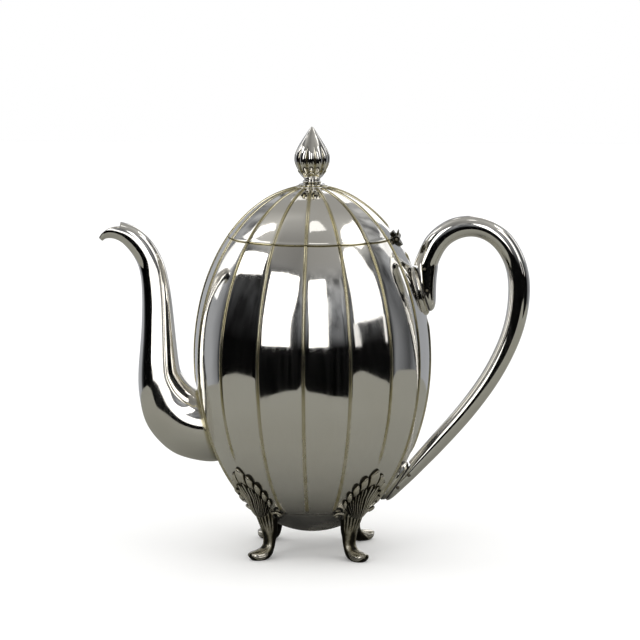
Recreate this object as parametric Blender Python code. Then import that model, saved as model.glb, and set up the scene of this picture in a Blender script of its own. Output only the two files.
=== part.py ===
"""Silver teapot: an egg-shaped ribbed body on four cast leaf feet, with a hinged ribbed lid and bud finial,
a curved spout, and a hollow handle pinned to two flanges.

Frame: +Z up, the table at Z = 0, the body's axis on Z, the spout towards -X and the handle towards +X.
Every size below is in millimetres. The meshes are written in metres.
"""

import math

import bmesh
import bpy
from mathutils import Matrix, Vector

MM = 0.001
GAP = 0.3  # clearance between neighbouring pieces

# Body: the upper and lower halves of an ellipse turned about Z.
BODY_RADIUS = 62.6
BODY_MID_Z = 103.9
BODY_TOP_REACH = 91.3
BODY_BOTTOM_REACH = 93.0
WALL = 1.2
SEAM_Z = 168.6  # where the lid meets the body
BASE_JOINT_Z = 26.0  # where the ribbed shell meets the smooth base disc

# Ribs: narrow rounded ridges on equally spaced meridians.
RIB_COUNT = 16
RIB_STEP = 360 / RIB_COUNT
RIB_HEIGHT = 0.8
RIB_HALF_WIDTH = 1.2

# Strainer: holes pierced in the body's wall behind the spout.
STRAINER_MID_Z = 67.0
STRAINER_HOLE_RADIUS = 1.6
STRAINER_PITCH = 6.0

# Hinge at the lid's back edge, its pin along Y.
HINGE_X = 44.9
HINGE_Z = 168.3
KNUCKLE_RADIUS = 1.6
HINGE_BORE = 0.85
HINGE_PIN_RADIUS = 0.6
HINGE_HALF_LENGTH = 9.0
LID_KNUCKLE_HALF = 3.0
HINGE_NOTCH_GAP = 0.35
HINGE_LEAF_FACES = (0.3, 1.2)  # how far each leaf's two faces stand off the shells
HINGE_LEAF_START = 0.9  # height between the pin's axis and the near edge of each leaf
BODY_LEAF_HALF_ANGLE = 11.3
BODY_LEAF_END_Z = 164.0
LID_LEAF_HALF_ANGLE = 3.5
LID_LEAF_END_Z = 171.6

# Handle joints: height of the middle of each joint on the body, and the handle end's oval.
UPPER_JOINT_Z = 140.3
LOWER_JOINT_Z = 37.8
UPPER_OVAL = (12.0, 6.0)
LOWER_OVAL = (11.0, 4.8)
FLANGE_LIP = 1.2  # how far the flange stands out round the handle's end
FLANGE_FACE = 1.2  # distances out from the body, along the joint's normal
WASHER_BACK = 1.4
WASHER_FACE = 1.9
HANDLE_FACE = 2.1
HANDLE_PIN_RADIUS = 0.65
HANDLE_PIN_HOLE = 0.85

# Finial, from the top of the lid up.
STUD_RADIUS = 1.5
STUD_HOLE = 1.8
FINIAL_JOINT_Z = 198.0
FINIAL_TIP_Z = 226.4

FOOT_ANGLES = {"foot_back_right": 45, "foot_back_left": 135, "foot_front_left": 225, "foot_front_right": 315}

# Spout sections, from inside the body to the lip: the side towards the pot, the far side, the half width in Y.
SPOUT_SECTIONS = [
    ((-50.0, 83.0), (-41.0, 52.0), 13.0),
    ((-61.3, 85.5), (-51.0, 47.2), 13.4),
    ((-62.6, 86.4), (-65.0, 48.6), 13.3),
    ((-64.2, 87.6), (-77.0, 53.6), 13.0),
    ((-66.6, 90.0), (-88.0, 66.0), 12.3),
    ((-69.2, 93.8), (-92.0, 80.5), 11.4),
    ((-71.0, 98.5), (-92.8, 95.0), 10.9),
    ((-73.0, 117.0), (-90.9, 117.5), 9.0),
    ((-75.0, 136.5), (-90.4, 137.0), 7.8),
    ((-78.2, 152.6), (-91.5, 149.6), 6.9),
    ((-84.2, 164.5), (-94.9, 157.5), 6.3),
    ((-92.6, 172.4), (-100.0, 163.6), 5.8),
    ((-101.4, 175.4), (-103.8, 166.0), 5.3),
    ((-107.8, 176.0), (-107.2, 166.7), 4.9),
    ((-111.7, 172.4), (-109.8, 166.3), 3.8),
    ((-113.3, 167.4), (-111.1, 165.3), 2.4),
]
SPOUT_WALL = 1.0
# The mouth's edge, from above the hood down its front and out along the beak.
MOUTH_EDGE = [(-101.0, 185.0), (-101.6, 172.6), (-106.9, 172.0), (-110.9, 169.8), (-114.0, 165.6)]

# Handle sections, from the upper joint over the top and down to the lower joint: the outer side, the inner
# side, the half width in Y. The first and last lie in the planes of the two joints and are computed.
HANDLE_SECTIONS = [
    ((55.9, 153.4), (64.9, 133.2), 6.2),
    ((55.4, 155.4), (65.6, 146.5), 6.3),
    ((55.1, 158.3), (66.9, 155.2), 6.2),
    ((61.2, 170.3), (71.4, 163.8), 6.0),
    ((74.2, 179.0), (79.0, 168.4), 5.7),
    ((89.8, 179.2), (87.7, 168.6), 5.4),
    ((103.9, 171.4), (96.0, 163.4), 5.6),
    ((112.8, 155.6), (102.0, 152.6), 5.7),
    ((114.9, 138.0), (103.4, 138.2), 5.7),
    ((110.9, 117.0), (100.6, 120.2), 5.4),
    ((100.6, 94.8), (91.8, 99.9), 5.1),
    ((86.4, 74.4), (78.9, 80.7), 4.9),
    ((70.4, 56.0), (63.6, 62.7), 4.8),
    ((59.2, 44.4), (54.2, 51.6), 4.7),
    ((54.0, 39.2), (53.2, 48.8), 4.8),
    ((48.0, 33.4), (52.8, 47.2), 4.9),
    ((42.2, 28.2), (52.5, 46.1), 4.9),
]
HANDLE_WALL = 1.1

# The tongues inside the handle's ends, as (along the joint, out from the body), and the pins through them.
UPPER_TONGUE = [(-6.5, 1.6), (8.3, 1.6), (12.8, 4.8), (12.8, 7.4), (4.0, 6.0), (-0.5, 5.3), (-3.5, 4.2), (-6.5, 3.0)]
UPPER_TONGUE_HALF = 2.0
UPPER_PINS = {"upper_pin_high": (10.9, 5.5), "upper_pin_low": (-0.4, 3.5)}
LOWER_TONGUE = [(-4.6, 1.6), (7.6, 1.6), (10.4, 3.2), (10.4, 5.4), (4.5, 4.8), (-0.6, 4.2), (-4.6, 2.9)]
LOWER_TONGUE_HALF = 1.5
LOWER_PINS = {"lower_pin_high": (7.8, 3.9), "lower_pin_low": (-1.2, 3.1)}

# Leg sections in the foot's radial plane, from the body down to the toe: front, back, half width.
LEG_SECTIONS = [
    ((43.6, 33.0), (33.0, 31.0), 8.6),
    ((39.4, 26.4), (27.0, 22.4), 7.0),
    ((36.0, 20.0), (25.6, 15.4), 5.2),
    ((33.6, 14.2), (26.6, 10.8), 4.3),
    ((32.4, 9.2), (28.0, 5.8), 4.0),
    ((33.8, 6.5), (30.6, 0.8), 4.2),
    ((37.2, 5.4), (35.6, -0.9), 4.5),
    ((40.9, 4.9), (40.2, -0.4), 3.9),
    ((43.1, 4.4), (43.2, 2.2), 1.9),
]
# The leaf over each foot: a fan of lobes about a point low on the body, as angle from upright and reach.
LEAF_ROOT_Z = 26.0
LEAF_LOBES = [0.0, 20.0, 31.0, 43.0, 60.0]
LEAF_EDGES = [11.0, 25.5, 37.0, 51.0, 68.0]
LEAF_REACH = 31.5
LEAF_SIDE_REACH = 18.5
LEAF_NOTCH = 0.14
LEAF_THICKNESS = 1.6

SILVER = {"color": (0.80, 0.79, 0.76), "metallic": 1.0, "roughness": 0.10}
SILVER_OLD = {"color": (0.55, 0.53, 0.46), "metallic": 1.0, "roughness": 0.28}
PIN_SILVER = {"color": (0.50, 0.49, 0.45), "metallic": 1.0, "roughness": 0.35}
INSULATOR = {"color": (0.045, 0.040, 0.036), "metallic": 0.0, "roughness": 0.55}


# ---------------------------------------------------------------- helpers


def clear_scene():
    for old in list(bpy.data.objects):
        bpy.data.objects.remove(old)


def material(name, look):
    made = bpy.data.materials.get(name) or bpy.data.materials.new(name)
    made.use_nodes = True
    shader = made.node_tree.nodes["Principled BSDF"]
    shader.inputs["Base Color"].default_value = (*look["color"], 1.0)
    shader.inputs["Metallic"].default_value = look["metallic"]
    shader.inputs["Roughness"].default_value = look["roughness"]
    return made


def finished(bm, name):
    """The mesh in metres, with its faces pointing out."""
    bmesh.ops.recalc_face_normals(bm, faces=bm.faces)
    bmesh.ops.scale(bm, vec=(MM, MM, MM), verts=bm.verts)
    mesh = bpy.data.meshes.new(name)
    bm.to_mesh(mesh)
    bm.free()
    return mesh


def node(name, mesh, look, location=(0, 0, 0), turn_z=0.0, crease=35):
    """One named piece of the teapot."""
    mesh.materials.clear()
    mesh.materials.append(material(name, look))
    mesh.shade_smooth()
    mesh.set_sharp_from_angle(angle=math.radians(crease))
    made = bpy.data.objects.new(name, mesh)
    made.location = Vector(location) * MM
    made.rotation_euler.z = math.radians(turn_z)
    bpy.context.collection.objects.link(made)
    return made


def combined(first, second, operation):
    """The mesh that a Boolean of two meshes leaves."""
    host = bpy.data.objects.new("boolean_host", first)
    tool = bpy.data.objects.new("boolean_tool", second)
    for made in (host, tool):
        bpy.context.collection.objects.link(made)
    modifier = host.modifiers.new("boolean", "BOOLEAN")
    modifier.operation = operation
    modifier.solver = "EXACT"
    modifier.object = tool
    graph = bpy.context.evaluated_depsgraph_get()
    result = bpy.data.meshes.new_from_object(host.evaluated_get(graph))
    bpy.data.objects.remove(host)
    bpy.data.objects.remove(tool)
    return result


def smooth_step(value, low, high):
    t = min(1.0, max(0.0, (value - low) / (high - low)))
    return t * t * (3 - 2 * t)


def ring_loop(rings, name):
    """A closed skin over rings of equal length, the last joined back to the first."""
    bm = bmesh.new()
    loops = [[bm.verts.new(p) for p in ring] for ring in rings]
    count = len(loops[0])
    for i, ring in enumerate(loops):
        following = loops[(i + 1) % len(loops)]
        for k in range(count):
            n = (k + 1) % count
            bm.faces.new((ring[k], ring[n], following[n], following[k]))
    return finished(bm, name)


def capped_rings(rings, name):
    """A closed skin over rings of equal length, with a flat cap at each end."""
    bm = bmesh.new()
    loops = [[bm.verts.new(p) for p in ring] for ring in rings]
    count = len(loops[0])
    for ring, following in zip(loops, loops[1:]):
        for k in range(count):
            n = (k + 1) % count
            bm.faces.new((ring[k], ring[n], following[n], following[k]))
    for end in (loops[0], loops[-1]):
        bm.faces.new(end)
    return finished(bm, name)


def turned(profile, segments, name):
    """A profile of (radius, height) points turned about Z: closed as a ring, or at the axis where radius is 0."""
    bm = bmesh.new()
    angles = [2 * math.pi * k / segments for k in range(segments)]
    loops = []
    for radius, height in profile:
        if radius < 1e-6:
            loops.append([bm.verts.new((0, 0, height))])
        else:
            loops.append([bm.verts.new((radius * math.cos(a), radius * math.sin(a), height)) for a in angles])
    pairs = list(zip(loops, loops[1:]))
    if len(loops[0]) > 1 and len(loops[-1]) > 1:
        pairs.append((loops[-1], loops[0]))
    for lower, upper in pairs:
        if len(lower) == 1 and len(upper) == 1:
            continue
        for k in range(segments):
            n = (k + 1) % segments
            corners = [lower[k % len(lower)], lower[n % len(lower)], upper[n % len(upper)], upper[k % len(upper)]]
            bm.faces.new(list(dict.fromkeys(corners)))
    return finished(bm, name)


def rod(start, end, radius, segments, name):
    """A round bar between two points."""
    start, end = Vector(start), Vector(end)
    turn = (end - start).to_track_quat("Z", "Y")
    rings = []
    for point in (start, end):
        angles = [2 * math.pi * (k + 0.5) / segments for k in range(segments)]
        rings.append([point + turn @ Vector((radius * math.cos(a), radius * math.sin(a), 0)) for a in angles])
    return capped_rings(rings, name)


def slab(outline, half, name):
    """An outline of (x, z) points given a thickness in Y."""
    rings = [[Vector((x, y, z)) for x, z in outline] for y in (-half, half)]
    return capped_rings(rings, name)


def through_points(values, steps):
    """Points on a Catmull-Rom curve through the given rows of numbers."""
    rows = [values[0], *values, values[-1]]
    made = []
    for before, a, b, after in zip(rows, rows[1:], rows[2:], rows[3:]):
        for step in range(steps):
            t = step / steps
            row = []
            for p0, p1, p2, p3 in zip(before, a, b, after):
                bend = 2 * p0 - 5 * p1 + 4 * p2 - p3
                twist = 3 * (p1 - p2) + p3 - p0
                row.append(p1 + 0.5 * t * (p2 - p0 + t * (bend + t * twist)))
            made.append(row)
    made.append(list(values[-1]))
    return made


def section_rings(sections, steps, segments, inset=0.0):
    """Oval rings across the XZ plane, one side of each at the first point and the other at the second."""
    rows = [(*a, *b, half) for a, b, half in sections]
    rings = []
    for ax, az, bx, bz, half in through_points(rows, steps):
        middle = Vector(((ax + bx) / 2, 0, (az + bz) / 2))
        arm = Vector(((ax - bx) / 2, 0, (az - bz) / 2))
        arm *= (arm.length - inset) / arm.length
        side = Vector((0, half - inset, 0))
        angles = [2 * math.pi * k / segments for k in range(segments)]
        rings.append([middle + arm * math.cos(a) + side * math.sin(a) for a in angles])
    return rings


def hollow_sweep(sections, wall, steps, segments, name):
    """A tube through the sections, open at both ends."""
    outer = section_rings(sections, steps, segments)
    inner = section_rings(sections, steps, segments, wall)
    return ring_loop(outer + inner[::-1], name)


# ---------------------------------------------------------------- the body's surface


def body_outline(z, offset=0.0):
    """Radius and height of the smooth body at height z, moved out along its normal."""
    reach = BODY_TOP_REACH if z > BODY_MID_Z else BODY_BOTTOM_REACH
    t = math.asin(max(-1.0, min(1.0, (z - BODY_MID_Z) / reach)))
    normal = Vector((reach * math.cos(t), BODY_RADIUS * math.sin(t))).normalized()
    return BODY_RADIUS * math.cos(t) + offset * normal.x, z + offset * normal.y


def on_body(angle, z, offset=0.0):
    radius, height = body_outline(z, offset)
    return Vector((radius * math.cos(math.radians(angle)), radius * math.sin(math.radians(angle)), height))


def window(z, low, high, fade=5.0):
    """1 between low and high, 0 outside them, with a soft step at each end."""
    return smooth_step(z, low - fade, low) * (1 - smooth_step(z, high, high + fade))


def rib_height(angle, z):
    """How far the rib on this meridian stands out: it dies away at the base and under whatever sits on it."""
    height = RIB_HEIGHT * smooth_step(z, 30, 42) * (1 - smooth_step(z, 190, 193.5))
    if angle % 90 == 45:
        height *= smooth_step(z, 56, 61)
    if angle == 180:
        height *= 1 - window(z, 44, 90)
    if angle == 0:
        height *= 1 - window(z, 20, 52)
        height *= 1 - window(z, 124, 178)
    return height


def ribbed_ring(z):
    """One level of the ribbed skin: four points to a rib, its two feet, its crest and the panel's middle."""
    radius = body_outline(z)[0]
    half = min(5.0, math.degrees(RIB_HALF_WIDTH / radius))
    ring = []
    for k in range(RIB_COUNT):
        angle = k * RIB_STEP
        ring.append(on_body(angle - half, z))
        ring.append(on_body(angle, z, rib_height(angle, z)))
        ring.append(on_body(angle + half, z))
        ring.append(on_body(angle + RIB_STEP / 2, z))
    return ring


def plain_ring(z, offset):
    """A smooth level with the same columns as ribbed_ring."""
    radius = body_outline(z)[0]
    half = min(5.0, math.degrees(RIB_HALF_WIDTH / radius))
    columns = (-half, 0, half, RIB_STEP / 2)
    return [on_body(k * RIB_STEP + c, z, offset) for k in range(RIB_COUNT) for c in columns]


def levels(low, high, count):
    """Heights from low to high, evenly spaced in latitude round the body's outline."""

    def latitude(z):
        reach = BODY_TOP_REACH if z > BODY_MID_Z else BODY_BOTTOM_REACH
        return math.asin((z - BODY_MID_Z) / reach)

    start, end = latitude(low), latitude(high)
    made = []
    for k in range(count + 1):
        t = start + (end - start) * k / count
        reach = BODY_TOP_REACH if t > 0 else BODY_BOTTOM_REACH
        made.append(BODY_MID_Z + reach * math.sin(t))
    return made


def body_clearance(offset=GAP, segments=64, count=26):
    """A plain solid a little larger than the body, for cutting pieces that rest on it."""
    low, high = BODY_MID_Z - BODY_BOTTOM_REACH, BODY_MID_Z + BODY_TOP_REACH
    inside = levels(low + 0.2, high - 0.2, count)
    profile = [(0, low - offset)] + [body_outline(z, offset) for z in inside] + [(0, high + offset)]
    return turned(profile, segments, "body_clearance")


# ---------------------------------------------------------------- body, base and mouth


def make_body_shell():
    top = SEAM_Z - GAP
    outer = [ribbed_ring(z) for z in levels(BASE_JOINT_Z, top, 15)]
    inner = [plain_ring(z, -WALL) for z in levels(BASE_JOINT_Z, top, 9)]
    shell = ring_loop(outer + inner[::-1], "body_shell")
    for row in range(-2, 3):
        for column in (-1, 0, 1):
            shift = STRAINER_PITCH / 2 if row % 2 else 0.0
            y = column * STRAINER_PITCH + shift
            z = STRAINER_MID_Z + row * STRAINER_PITCH * math.sqrt(3) / 2
            if abs(y) > STRAINER_PITCH * 1.3:
                continue
            hole = rod((-75, y, z), (-40, y, z), STRAINER_HOLE_RADIUS, 8, "strainer_hole")
            shell = combined(shell, hole, "DIFFERENCE")
    return node("body_shell", notched_for_hinge(shell), SILVER)


def make_base_disc():
    """The smooth dished bottom, let in below the ribbed shell."""
    top = BASE_JOINT_Z - GAP
    low = BODY_MID_Z - BODY_BOTTOM_REACH
    inside = levels(low + 0.15, top, 5)
    outer = [(0, low)] + [body_outline(z) for z in inside[1:]]
    inner = [body_outline(z, -WALL) for z in inside[:0:-1]] + [(0, low + WALL)]
    return node("base_disc", turned(outer + inner, 48, "base_disc"), SILVER)


def make_mouth_collar():
    """The ring soldered inside the mouth, which stiffens it and takes the lid's bezel."""
    top = SEAM_Z - GAP
    profile = [(41.0, 162.6), (41.9, 162.6), (41.9, top - 0.8), (42.4, top - 0.4), (42.4, top), (41.0, top)]
    return node("mouth_collar", turned(profile, 48, "mouth_collar"), SILVER)


# ---------------------------------------------------------------- lid and finial


def make_lid_shell():
    low = SEAM_Z + GAP
    top = body_outline_height(STUD_HOLE)
    outer_levels = levels(low, top, 8)
    inner_levels = levels(low, top, 5)
    outer = [ribbed_ring(z) for z in outer_levels]
    inner = [plain_ring(z, -WALL) for z in inner_levels]
    shell = ring_loop(outer + inner[::-1], "lid_shell")
    return node("lid_shell", notched_for_hinge(shell), SILVER)


def body_outline_height(radius):
    """Height of the upper half of the body's outline at this radius."""
    return BODY_MID_Z + BODY_TOP_REACH * math.sqrt(1 - (radius / BODY_RADIUS) ** 2)


def make_lid_bezel():
    """The ring under the lid that drops into the mouth and centres it."""
    low = SEAM_Z + GAP
    profile = [(39.0, 164.2), (40.0, 164.2), (40.0, low), (41.8, low), (41.0, low + 0.9), (39.0, low + 0.9)]
    return node("lid_bezel", turned(profile, 48, "lid_bezel"), SILVER)


def make_finial():
    rim = 8.4
    dome = body_outline_height(rim) + GAP
    crown = body_outline_height(STUD_HOLE) + GAP
    base = [(STUD_HOLE, crown), (rim, dome), (rim + 0.2, dome + 0.4), (rim, dome + 0.9), (6.6, 196.4)]
    base += [(5.2, 197.2), (4.8, FINIAL_JOINT_Z), (STUD_HOLE, FINIAL_JOINT_Z)]
    node("finial_base", turned(base, 32, "finial_base"), SILVER)

    low = FINIAL_JOINT_Z + GAP
    bud = [(0, 206.0), (STUD_HOLE, 205.0), (STUD_HOLE, low), (4.7, low), (5.0, 199.4), (6.6, 201.2), (8.3, 203.4)]
    bud += [(9.3, 206.4), (9.5, 209.4), (8.9, 212.4), (7.4, 216.0), (5.3, 219.0), (3.4, 222.0)]
    bud += [(2.1, 224.6), (0.8, 226.1), (0, FINIAL_TIP_Z)]
    node("finial_bud", turned(bud, 24, "finial_bud"), SILVER)

    stud = [(0, 187.6), (STUD_RADIUS - 0.3, 187.6), (STUD_RADIUS, 187.9), (STUD_RADIUS, 204.4), (0, 205.0)]
    node("finial_stud", turned(stud, 16, "finial_stud"), PIN_SILVER)
    washer = [(STUD_HOLE, 192.2), (5.4, 192.2), (5.4, 193.0), (STUD_HOLE, 193.2)]
    node("finial_washer", turned(washer, 24, "finial_washer"), PIN_SILVER)
    nut = [(STUD_HOLE, 189.2), (3.4, 189.2), (3.8, 189.7), (3.8, 191.4), (3.4, 191.9), (STUD_HOLE, 191.9)]
    node("finial_nut", turned(nut, 6, "finial_nut"), PIN_SILVER)


# ---------------------------------------------------------------- hinge


def surface_patch(half_angle, low, high, inner, outer, name, taper=1.0, columns=8, rows=3):
    """A thin curved plate lying on the +X side of the body, narrowed towards its far end by taper."""
    bm = bmesh.new()
    skins = []
    for offset in (inner, outer):
        grid = []
        for r in range(rows + 1):
            z = low + (high - low) * r / rows
            reach = half_angle * (1 + (taper - 1) * r / rows)
            angles = [reach * (2 * c / columns - 1) for c in range(columns + 1)]
            grid.append([bm.verts.new(on_body(a, z, offset)) for a in angles])
        skins.append(grid)
        for r in range(rows):
            for c in range(columns):
                bm.faces.new((grid[r][c], grid[r][c + 1], grid[r + 1][c + 1], grid[r + 1][c]))
    rims = []
    for grid in skins:
        rim = grid[0] + [row[-1] for row in grid[1:-1]] + grid[-1][::-1] + [row[0] for row in grid[-2:0:-1]]
        rims.append(rim)
    for k in range(len(rims[0])):
        n = (k + 1) % len(rims[0])
        bm.faces.new((rims[0][k], rims[0][n], rims[1][n], rims[1][k]))
    return finished(bm, name)


def hinge_rod(radius, low_y, high_y, name):
    return rod((HINGE_X, low_y, HINGE_Z), (HINGE_X, high_y, HINGE_Z), radius, 12, name)


def notched_for_hinge(shell):
    """The shell with a round notch in its edge, which the hinge's barrel lies in."""
    reach = HINGE_HALF_LENGTH + HINGE_NOTCH_GAP
    return combined(shell, hinge_rod(KNUCKLE_RADIUS + HINGE_NOTCH_GAP, -reach, reach, "notch"), "DIFFERENCE")


def make_hinge():
    inner, outer = HINGE_LEAF_FACES
    start = HINGE_Z - HINGE_LEAF_START
    leaf = surface_patch(BODY_LEAF_HALF_ANGLE, start, BODY_LEAF_END_Z, inner, outer, "body_leaf", taper=0.35)
    for side in (-1, 1):
        near, far = side * (LID_KNUCKLE_HALF + 0.1), side * HINGE_HALF_LENGTH
        leaf = combined(leaf, hinge_rod(KNUCKLE_RADIUS, near, far, "knuckle"), "UNION")
    room = LID_KNUCKLE_HALF + 0.1
    leaf = combined(leaf, hinge_rod(KNUCKLE_RADIUS + GAP, -room, room, "knuckle_room"), "DIFFERENCE")
    leaf = combined(leaf, hinge_rod(HINGE_BORE, -20, 20, "hinge_bore"), "DIFFERENCE")
    node("hinge_body_leaf", leaf, SILVER_OLD)

    start = HINGE_Z + HINGE_LEAF_START
    leaf = surface_patch(LID_LEAF_HALF_ANGLE, start, LID_LEAF_END_Z, inner, outer, "lid_leaf", taper=1.5)
    lug = [(HINGE_X - 0.6, HINGE_Z), (HINGE_X + 0.6, HINGE_Z), (HINGE_X + 1.0, 172.1), (HINGE_X + 0.2, 172.3)]
    leaf = combined(leaf, slab(lug, LID_KNUCKLE_HALF - 0.4, "stop_lug"), "UNION")
    leaf = combined(leaf, hinge_rod(KNUCKLE_RADIUS, -LID_KNUCKLE_HALF, LID_KNUCKLE_HALF, "knuckle"), "UNION")
    leaf = combined(leaf, hinge_rod(HINGE_BORE, -20, 20, "hinge_bore"), "DIFFERENCE")
    node("hinge_lid_leaf", leaf, SILVER_OLD)

    reach = HINGE_HALF_LENGTH + 0.2
    pin = rod((0, -reach, 0), (0, reach, 0), HINGE_PIN_RADIUS, 12, "hinge_pin")
    node("hinge_pin", pin, PIN_SILVER, location=(HINGE_X, 0, HINGE_Z))


# ---------------------------------------------------------------- spout


def make_spout():
    tube = hollow_sweep(SPOUT_SECTIONS, SPOUT_WALL, 2, 16, "spout")
    tube = combined(tube, body_clearance(), "DIFFERENCE")
    sky = [(-130.0, 165.0), (-130.0, 185.0)]
    tube = combined(tube, slab(MOUTH_EDGE + sky, 20.0, "mouth_cut"), "DIFFERENCE")
    return node("spout", tube, SILVER)


# ---------------------------------------------------------------- handle and its joints


class Joint:
    """Where the handle meets the body: a point on the body, its outward normal and the direction up along it."""

    def __init__(self, z, oval):
        radius, _ = body_outline(z)
        tip, high = body_outline(z, 1.0)
        self.origin = Vector((radius, 0, z))
        self.normal = Vector((tip - radius, 0, high - z))
        self.up = Vector((-self.normal.z, 0, self.normal.x))
        self.oval = oval

    def at(self, along, out, y=0.0):
        return self.origin + self.up * along + self.normal * out + Vector((0, y, 0))

    def ring(self, out, grow=0.0, segments=24):
        """An oval in a plane parallel to the joint's."""
        long, short = self.oval
        angles = [2 * math.pi * k / segments for k in range(segments)]
        return [self.at((long + grow) * math.cos(a), out, (short + grow) * math.sin(a)) for a in angles]

    def end_section(self, out, flip):
        """The handle's end oval, as a section of its sweep."""
        ends = [self.at(s * self.oval[0], out) for s in (1, -1)]
        pairs = [(p.x, p.z) for p in (ends[::-1] if flip else ends)]
        return (pairs[0], pairs[1], self.oval[1])


def make_flange(joint, name):
    """A stepped oval plate on the body, which the handle's end faces."""
    step = (FLANGE_FACE + GAP) / 2
    rings = [joint.ring(-3.0, FLANGE_LIP), joint.ring(step, FLANGE_LIP)]
    rings += [joint.ring(step, FLANGE_LIP / 3), joint.ring(FLANGE_FACE, FLANGE_LIP / 3)]
    plate = combined(capped_rings(rings, name), body_clearance(), "DIFFERENCE")
    return node(name, plate, SILVER_OLD)


def make_insulator(joint, tongue, half, pins, name):
    """The insulating washer, with its tongue that reaches into the hollow handle and takes the pins."""
    washer = capped_rings([joint.ring(WASHER_BACK, -0.1), joint.ring(WASHER_FACE, -0.1)], name)
    points = [joint.at(along, out) for along, out in tongue]
    piece = combined(washer, slab([(p.x, p.z) for p in points], half, "tongue"), "UNION")
    for along, out in pins.values():
        hole = rod(joint.at(along, out, -12), joint.at(along, out, 12), HANDLE_PIN_HOLE, 8, "pin_hole")
        piece = combined(piece, hole, "DIFFERENCE")
    return node(name, piece, INSULATOR)


def make_handle(upper, lower):
    sections = [upper.end_section(HANDLE_FACE, False), *HANDLE_SECTIONS]
    sections.append(lower.end_section(HANDLE_FACE, True))
    tube = hollow_sweep(sections, HANDLE_WALL, 2, 12, "handle")
    for joint, pins in ((upper, UPPER_PINS), (lower, LOWER_PINS)):
        for along, out in pins.values():
            hole = rod(joint.at(along, out, -12), joint.at(along, out, 12), HANDLE_PIN_HOLE, 8, "pin_hole")
            tube = combined(tube, hole, "DIFFERENCE")
    return node("handle", tube, SILVER)


def make_pins(joint, pins, half):
    for name, (along, out) in pins.items():
        pin = rod((0, -half, 0), (0, half, 0), HANDLE_PIN_RADIUS, 8, name)
        node(name, pin, PIN_SILVER, location=joint.at(along, out))


# ---------------------------------------------------------------- feet


def leaf_reach(angle):
    """How far the leaf's scalloped edge is from its root, at this angle from upright."""
    angle = abs(angle)
    starts = [-LEAF_EDGES[0], *LEAF_EDGES[:-1]]
    for low, high, tip in zip(starts, LEAF_EDGES, LEAF_LOBES):
        if angle <= high:
            break
    half = (high - tip) if angle > tip else (tip - low)
    across = min(1.0, abs(angle - tip) / half)
    fall = (LEAF_REACH - LEAF_SIDE_REACH) * (angle / LEAF_LOBES[-1]) ** 1.5
    return (LEAF_REACH - fall) * (1 - LEAF_NOTCH * (1 - math.sqrt(1 - across * across)))


def leaf_point(angle, share, offset):
    """A point of the leaf, on the +X side of the body: share of the way from its root to its edge."""
    reach = leaf_reach(angle) * share
    along, across = reach * math.cos(math.radians(angle)), reach * math.sin(math.radians(angle))
    z, walked = LEAF_ROOT_Z, 0.0
    while walked < along - 1e-9:
        step = min(1.0, along - walked)
        radius, _ = body_outline(z)
        tip, high = body_outline(z, 1.0)
        z += step * (tip - radius)
        walked += step
    radius, _ = body_outline(z)
    return on_body(math.degrees(across / radius), z, offset)


def leaf_angles():
    """Lobe tips, notches and a point between each, on both sides."""
    marks = [0.0]
    for tip, edge in zip(LEAF_LOBES, LEAF_EDGES):
        if tip > 0:
            marks.append(tip)
        marks += [tip + 0.7 * (edge - tip), edge]
    return sorted({-m for m in marks} | set(marks))


def make_leaf():
    """A slab over the body with a scalloped edge, thickest at its root."""
    bm = bmesh.new()
    angles = leaf_angles()
    shares = [0.12, 0.45, 0.8, 1.0]
    rises = [LEAF_THICKNESS + 2.2, LEAF_THICKNESS + 0.8, LEAF_THICKNESS + 0.4, LEAF_THICKNESS * 0.6]
    inner = [[bm.verts.new(leaf_point(a, s, -1.5)) for a in angles] for s in shares]
    outer = [[bm.verts.new(leaf_point(a, s, rise)) for a in angles] for s, rise in zip(shares, rises)]
    for grid in (inner, outer):
        for lower, upper in zip(grid, grid[1:]):
            for c in range(len(angles) - 1):
                bm.faces.new((lower[c], lower[c + 1], upper[c + 1], upper[c]))
    rims = []
    for grid in (inner, outer):
        sides = [row[-1] for row in grid[1:-1]], [row[0] for row in grid[-2:0:-1]]
        rims.append(grid[0] + sides[0] + grid[-1][::-1] + sides[1])
    for k in range(len(rims[0])):
        n = (k + 1) % len(rims[0])
        bm.faces.new((rims[0][k], rims[0][n], rims[1][n], rims[1][k]))
    return finished(bm, "leaf")


def make_feet():
    """Four castings of one pattern: a curved leg with a turned-out toe, and a leaf that lies on the body."""
    rings = section_rings(LEG_SECTIONS, 1, 12)
    for ring in rings:
        for point in ring:
            point.z = max(0.0, point.z)
    leg = capped_rings(rings, "leg")
    foot = combined(leg, make_leaf(), "UNION")
    foot = combined(foot, body_clearance(), "DIFFERENCE")
    for name, angle in FOOT_ANGLES.items():
        node(name, foot.copy(), SILVER_OLD, turn_z=angle)


def main():
    clear_scene()
    make_body_shell()
    make_base_disc()
    make_mouth_collar()
    make_lid_shell()
    make_lid_bezel()
    make_finial()
    make_hinge()
    make_spout()
    upper = Joint(UPPER_JOINT_Z, UPPER_OVAL)
    lower = Joint(LOWER_JOINT_Z, LOWER_OVAL)
    make_flange(upper, "upper_flange")
    make_flange(lower, "lower_flange")
    make_insulator(upper, UPPER_TONGUE, UPPER_TONGUE_HALF, UPPER_PINS, "upper_insulator")
    make_insulator(lower, LOWER_TONGUE, LOWER_TONGUE_HALF, LOWER_PINS, "lower_insulator")
    make_handle(upper, lower)
    make_pins(upper, UPPER_PINS, 5.6)
    make_pins(lower, LOWER_PINS, 4.2)
    make_feet()


main()
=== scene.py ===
"""Looks for the silver teapot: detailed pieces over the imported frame, procedural silver and a pale studio.

Lengths in the tables below are in millimetres, as in the CAD, and meshes are written in metres.
"""

import math

import bmesh
import bpy
from mathutils import Matrix, Vector


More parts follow.
